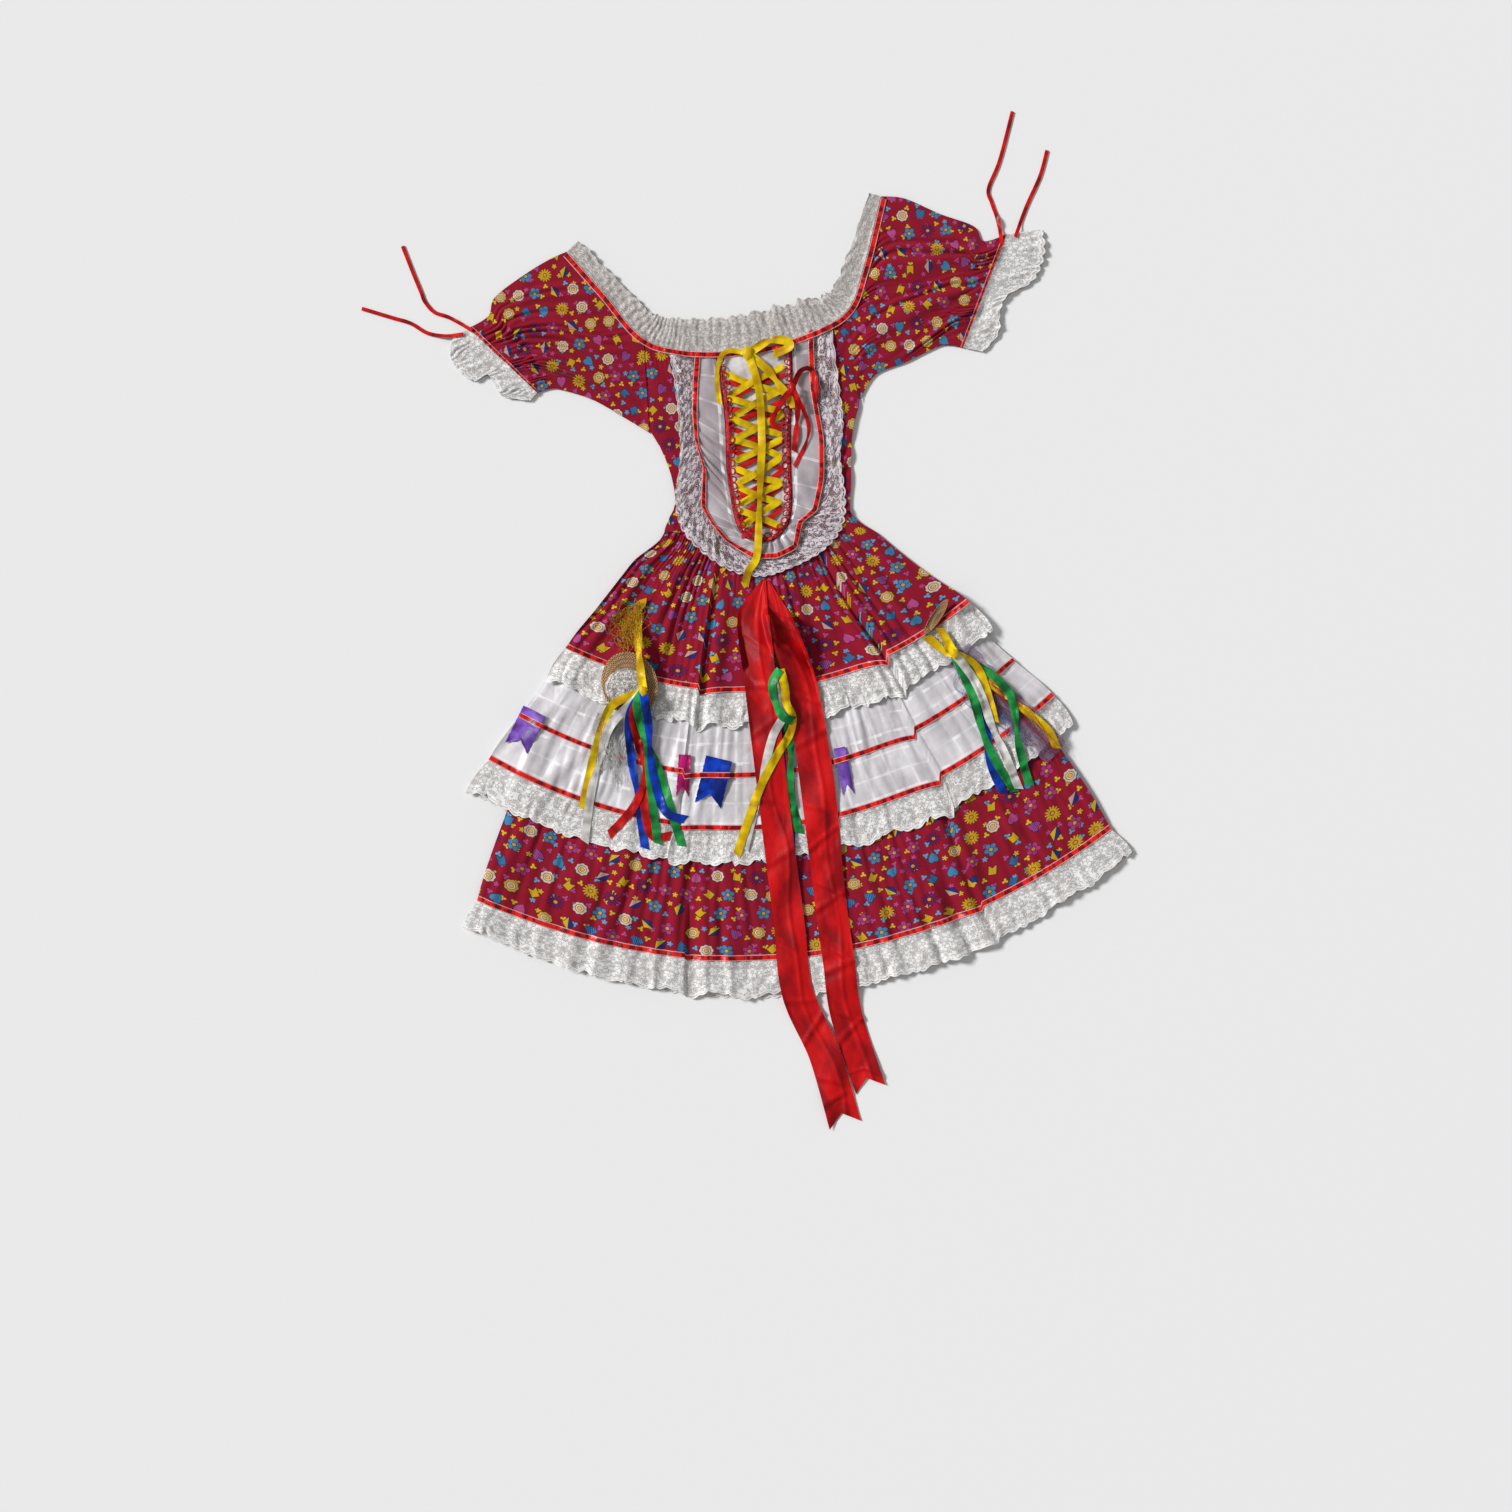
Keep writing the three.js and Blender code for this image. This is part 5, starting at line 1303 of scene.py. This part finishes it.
def beading():
    """Picot braid round the white satin, with a row of thread loops on its inner side that the lacing runs
    through."""
    s = np.linspace(0, 1, 361)
    px, py = line_at(SATIN_EDGE, s)
    reach = 1 / np.hypot(px - 8, 0.4 * (py - 60))
    ix, iy = (8 - px) * reach, 0.4 * (60 - py) * reach
    t = np.linspace(0, 1, 5)[:, None]
    x, y = px + ix * BRAID * t, py + iy * BRAID * t
    far = distance_along(px, py)
    puff = 0.5 + 4 * t * (1 - t) * 0.6 * (0.6 + 0.4 * np.sin(far * math.tau / 3.2))
    z = lay("eyelet_trim", x, y, puff)
    parts = [grid_mesh([(x, y, z, far[None, :] + 0 * x, t * BRAID + 0 * x)])]
    cover(x, y, z)
    for at in np.arange(LOOP_PITCH / 2, far[-1] - 3, LOOP_PITCH):
        k = int(np.searchsorted(far, at))
        cx, cy = px[k] + ix[k] * (BRAID + 2.9), py[k] + iy[k] * (BRAID + 2.9)
        turn = math.atan2(iy[k], ix[k]) + math.pi / 2
        parts.append(ring(cx, cy, floor_at(cx, cy, 1) + 0.2, 3.9, 3.0, turn, 0.7))
    piece("beading", *joined(parts), "braid", "satin_trim", ["eyelet_trim"])


panel()


# Ribbons


# Length over which the end of a ribbon is cut at a slant
RIBBON_CUT = 4


def pinched(seed):
    """How much of a ribbon's width shows along it, with one narrow place."""
    chance = random.Random(seed * 7 + 3)
    at, pinch = chance.uniform(0.25, 0.8), chance.uniform(0.1, 0.5)
    return lambda t: 1 - pinch * bump(t, at, 0.08)


def ribbon(node, path, width, lift=0.0, step=2.0, twist=None, arch=0.0, flutter=0.4, seed=0):
    """A ribbon's grid on its solid's form: (x, y, z, across, along)."""
    x, y, side, along = strip(path, width, step, 6, twist or pinched(seed))
    cut = ease((along - along.max() + RIBBON_CUT) / RIBBON_CUT)
    x, y = (way + np.gradient(way, axis=0) / step * 0.5 * side * cut for way in (x, y))
    rise = arch * np.sin(np.pi * along / along.max()) + flutter * wobble(along / 60, seed, 3, 0.5, 1.6)
    crown = 0.25 * (1 - (2 * side / width) ** 2) + 0.22 * side * wobble(along / 70, seed + 1, 3, 0.5, 1.5)
    z = lay(node, x, y, lift + rise + crown, 2, 0.2, 3)
    cover(x, y, z)
    return x, y, z, side, along


def ribbons(name, nodes, grids, material, slot):
    return piece(name, *grid_mesh(grids, RIBBON_THICK), material, slot, nodes)


def lacing(name, node, material, width, drop, seed):
    """Crossed ribbons. Their ends narrow to pass through the loops."""
    chance = random.Random(seed)

    def loops(k):
        t = k / LACING["rows"]
        y = mix(LACING["top"], LACING["low"], t) - drop
        middle = mix(LACING["left"] + LACING["right"], -8, t) / 2
        half = (LACING["right"] - LACING["left"]) / 2 * mix(1, LACING["narrow"], t) + 4
        return [(middle + sign * half, y + chance.uniform(-5, 5)) for sign in (-1, 1)]

    def narrowed(t):
        return 0.65 + 0.35 * ease(9 * t) * ease(9 * (1 - t))

    grids = []
    for k in range(LACING["rows"]):
        (left, right), (next_left, next_right) = loops(k), loops(k + 1)
        for over, (a, b) in enumerate(((left, next_right), (right, next_left))):
            sag = chance.uniform(-3.5, 3.5)
            middle = [mix(a[0], b[0], 0.5), mix(a[1], b[1], 0.5) + sag]
            grids.append(ribbon(node, [a, middle, b], width, 0.5 * over, 1.6, narrowed, 2.0, 0.6,
                                k * 2 + over))
    ribbons(name, [node], grids, material, SLOTS[material])


lacing("lacing_red_ribbon", "lacing_red", "red", 6.0, 9, 5)
lacing("lacing_yellow_ribbon", "lacing_yellow", "yellow", 8.0, 0, 6)
beading()
neck_ribbon()

# Bows: node, colour, place and radius of the knot; width and path of each loop and tail
BOWS = [
    ("bow_yellow", "yellow", (4, 174), 8, [
        (10, [(30, 186), (50, 184), (54, 176), (34, 170)]),
        (6, [(-16, 180), (-28, 174), (-36, 150), (-36, 118)]),
        (10, [(26, 150), (53, 104)]),
        (9, [(12, 130), (9, 70), (3, 30), (-3, -10), (-12, -66), (-24, -84), (-30, -100)]),
    ]),
    ("bow_red", "red", (52, 126), 6, [
        (6, [(64, 146), (78, 146), (80, 124), (78, 108)]),
        (7, [(38, 112), (24, 90), (34, 80)]),
        (7, [(56, 104), (46, 52)]),
        (5, [(66, 86), (62, 62), (44, 34)]),
    ]),
]


def knot(name, x, y, z, radius, height, material):
    """A knot of ribbon: a rounded turn that stands on the ribbons under it."""
    bpy.ops.object.select_all(action="DESELECT")
    bpy.ops.mesh.primitive_uv_sphere_add(segments=24, ring_count=14, radius=1)
    made = bpy.context.object
    made.name = made.data.name = name
    for v in made.data.vertices:
        crease = 1 - 0.1 * math.cos(5 * math.atan2(v.co.y, v.co.x)) * (1 - abs(v.co.z)) ** 0.5
        across, along = v.co.x * radius * crease * 0.8, v.co.y * radius * crease * 1.1
        v.co = Vector(placed(across + x, along + y, z + (v.co.z * 0.5 + 0.5) * height))
    made.data.materials.append(MATERIALS[material])
    made.data.polygons.foreach_set("use_smooth", [True] * len(made.data.polygons))
    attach(made, "root")


def bows():
    for node, material, (x, y), radius, strips in BOWS:
        floor = floor_at(x, y, 3)
        grids = [ribbon(node, [(x, y), *path], width, 0.4 * k, 2.0, None, 1.2, 0.5, k)
                 for k, (width, path) in enumerate(strips)]
        ribbons(node + "_ribbon", [node], grids, material, SLOTS[material])
        top = max(float(z[0].max()) for _, _, z, _, _ in grids)
        knot(node + "_knot", x, y, floor, radius, max(3.0, top - floor + 1.5), material)


bows()


def disc(x0, y0, along, short, turn, rings, spokes):
    """A grid over an oval, from its middle out."""
    angle = math.radians(turn)
    radius = np.linspace(0.02, 1, rings + 1)[:, None]
    around = np.linspace(0, math.tau, spokes + 1)[None, :]
    i, j = short * radius * np.cos(around), along * radius * np.sin(around)
    x = x0 + i * math.cos(angle) - j * math.sin(angle)
    y = y0 + i * math.sin(angle) + j * math.cos(angle)
    return x, y, radius, around


def hat(side):
    """A straw hat, and its lace crown where it has one."""
    x0, y0, along, short, turn = HATS[side]["hat"]
    x, y, radius, around = disc(x0, y0, along, short, turn, 26, 80)
    node = f"straw_hat_{side}"
    dished = 1.6 * ease((radius - 0.5) * 2) + 0.5 * np.abs(np.sin(radius * along * math.pi / 5))
    z = smooth(top_of(node, x, y, 1), 1) + dished + 0.9 * wobble(around / math.tau, 97, 4, 1, 3.4) * radius
    z = np.maximum(z, height_at(x, y) + 1.2)
    trim(f"straw_{side}", node, x, y, z, around * 0.7 * along + 0 * x, radius * along + 0 * x, "straw",
         "straw", STRAW_THICK)
    if side in CROWNS:
        x0, y0, along, short = CROWNS[side]
        x, y, radius, around = disc(x0, y0, along, short, turn, 16, 64)
        creased = 0.8 * wobble(around / math.tau, 99, 5, 2, 7) * radius + 0.5 * np.sin(radius * 11)
        z = height_at(x, y, 3).min() + 0.8 + 4.5 * np.sqrt(1 - 0.93 * radius ** 2) + creased
        z = np.maximum(z, height_at(x, y) + 0.5)
        trim(f"crown_{side}", node, x, y, z, x, y + 900, "crown_lace", "straw")


def tube_of(x, y, z, radius):
    """A three-sided thread through a row of points: points, faces and UVs."""
    dx, dy = np.gradient(x), np.gradient(y)
    length = np.maximum(np.hypot(dx, dy), 1e-6)
    nx, ny = -dy / length * radius, dx / length * radius
    rings = [(x + nx, y + ny, z), (x - nx, y - ny, z), (x, y, z + 1.7 * radius)]
    points = [placed(r[0][k], r[1][k], r[2][k]) for k in range(len(x)) for r in rings]
    far = np.cumsum(length)
    places = [(far[k], i) for k in range(len(x)) for i in range(3)]
    faces = [[3 * k + i, 3 * k + (i + 1) % 3, 3 * k + 3 + (i + 1) % 3, 3 * k + 3 + i]
             for k in range(len(x) - 1) for i in range(3)]
    last = 3 * len(x) - 3
    return points, faces + [[2, 1, 0], [last, last + 1, last + 2]], places


def threads(name, node, material, count, path, spread, rise):
    """A tangle of loose threads that follows a path."""
    chance = random.Random(name)
    parts = []
    t = np.linspace(0, 1, 30)
    for _ in range(count):
        x, y = line_at(path, mix(chance.uniform(0, 0.3), chance.uniform(0.5, 1), t))
        open_out = ease(2.5 * t + 0.15)
        loose = 0.45 * chance.gauss(0, 1) + 0.42 * wobble(t, chance.random(), 4, 0.3, 1.8)
        x = x + spread * open_out * loose
        loose = 0.3 * chance.gauss(0, 1) + 0.42 * wobble(t, chance.random(), 4, 0.3, 1.8)
        y = y + spread * open_out * loose
        lift = np.abs(wobble(t, chance.random(), 3, 0.3, 1.2))
        z = np.convolve(np.pad(height_at(x, y, 2), 2, mode="edge"), np.full(5, 0.2), "valid")
        z = np.maximum(z, height_at(x, y)) + 0.3 + rise * 0.5 * lift
        parts.append(tube_of(x, y, z, THREAD_RADIUS))
    piece(name, *joined(parts), material, node.split("_")[0], [node])


def bunches(side):
    """The net that hangs from a hat."""
    width, path = HATS[side]["tulle"]
    node = f"tulle_{side}"
    x, y, across, down = strip(path, width, 1.6, 36)
    edge = 1 + 0.1 * wobble(down / 90, 92, 5, 1, 6)
    x, y = (way.mean(1, keepdims=True) + (way - way.mean(1, keepdims=True)) * edge for way in (x, y))
    folds = 3.2 * gathers(across / width + 0.5 + 0.3 * down / 100, down / 100, 6, 91)
    z = lay(node, x, y, folds + 0.3)
    cloth(f"tulle_bunch_{side}", node, x, y, z, across, down, f"tulle_{side}", "tulle", "gathered")


def hanging(side, first=0, last=None):
    """Some of the ribbons that are tied to a hat."""
    kx, ky = HATS[side]["knot"]
    node = f"ribbons_{side}"
    by_colour = {}
    for k, (colour, path) in enumerate(HATS[side]["ribbons"][first:last], first):
        grid = ribbon(node, [(kx, ky), *path], HAT_RIBBON, 0.0, 1.8, None, 0.8, 0.8, k)
        by_colour.setdefault(colour, []).append(grid)
    for colour, grids in by_colour.items():
        made = ribbons(f"ribbons_{side}_{colour}_{first}", [node], grids, colour, SLOTS[colour])


def knot_over(side):
    kx, ky = HATS[side]["knot"]
    knot(f"knot_{side}", kx, ky, floor_at(kx, ky, 2) - 2.6, 5.5, 4.2, "yellow")


# How many of the middle hat's ribbons the sash covers
UNDER_SASH = 3

for side in HATS:
    hat(side)
    bunches(side)
for entry in NET_THREADS:
    threads(*entry)
for side in ("left", "right"):
    hanging(side)
    knot_over(side)
for entry in TINSEL_THREADS:
    threads(*entry)
hanging("middle", 0, UNDER_SASH)


SASH_ROWS = 220
SASH_COLUMNS = 32


def sash():
    """Two satin tails with notched ends, creased across."""
    for side in ("right", "left"):
        xs, ys, widths = zip(*SASH[side])
        fine = np.linspace(0, len(xs) - 1, 400)
        far = distance_along(curve(xs, fine), curve(ys, fine))
        down = np.linspace(0, far[-1], SASH_ROWS + 1)
        t = np.interp(down, far, fine)
        px, py, wide = (np.where(t < 1, np.interp(t, range(len(row)), row), curve(row, t))
                        for row in (xs, ys, widths))
        dx, dy = heading(px, py)
        s = np.linspace(0, 1, SASH_COLUMNS + 1)[None, :]
        offset = (0.5 - s) * wide[:, None]
        along = down[:, None] + 0 * offset
        back = NOTCH * (1 - np.abs(s - 0.5) * 2) * ease((along - far[-1] + 40) / 40)
        x = px[:, None] + dy[:, None] * offset - dx[:, None] * back
        y = py[:, None] - dx[:, None] * offset - dy[:, None] * back
        seed = 101 if side == "left" else 107
        crease = 1.4 * wobble(along / 260 + 0.25 * s, seed, 5, 0.8, 3.0) + 1.4
        for at, slant, deep in SASH_CREASES[side]:
            ridge = at + slant * s
            crease = crease + 1.4 * deep * bump(along, ridge, 3.4) - 0.8 * deep * bump(along, ridge + 7, 5)
        lengthwise = 1.1 * bump(s, 0.62 + 0.1 * wobble(along / 200, seed + 3, 3, 0.5, 1.5), 0.07)
        z = lay(f"sash_{side}", x, y, np.maximum(crease, 0) + lengthwise)
        cloth(f"sash_satin_{side}", f"sash_{side}", x, y, z, offset, along, "satin_sash", "satin_sash")


sash()
hanging("middle", UNDER_SASH)


# Floor and lights


# Metres, radians, and the strength of the sun and of the white sky
FLOOR_SIZE = 60
SUN_FROM = (-1.0, 0.55, 0.8)
SUN_SPREAD = math.radians(14)
SUN_STRENGTH = 3.3
SKY_STRENGTH = 0.3


def stage():
    bpy.ops.object.select_all(action="DESELECT")
    bpy.ops.mesh.primitive_plane_add(size=FLOOR_SIZE, location=(0, 0, -0.0005))
    floor = bpy.context.object
    floor.name = "floor"
    floor.data.materials.append(white_paint())
    data = bpy.data.lights.new("key", "SUN")
    data.angle = SUN_SPREAD
    data.energy = SUN_STRENGTH
    lamp = bpy.data.objects.new("key", data)
    lamp.rotation_euler = Vector(SUN_FROM).to_track_quat("Z", "Y").to_euler()
    bpy.context.scene.collection.objects.link(lamp)
    world = bpy.data.worlds.new("studio")
    world.use_nodes = True
    sky = world.node_tree.nodes["Background"]
    sky.inputs["Color"].default_value = (1, 1, 1, 1)
    sky.inputs["Strength"].default_value = SKY_STRENGTH
    bpy.context.scene.world = world
    bpy.context.scene.view_settings.view_transform = "Standard"


stage()
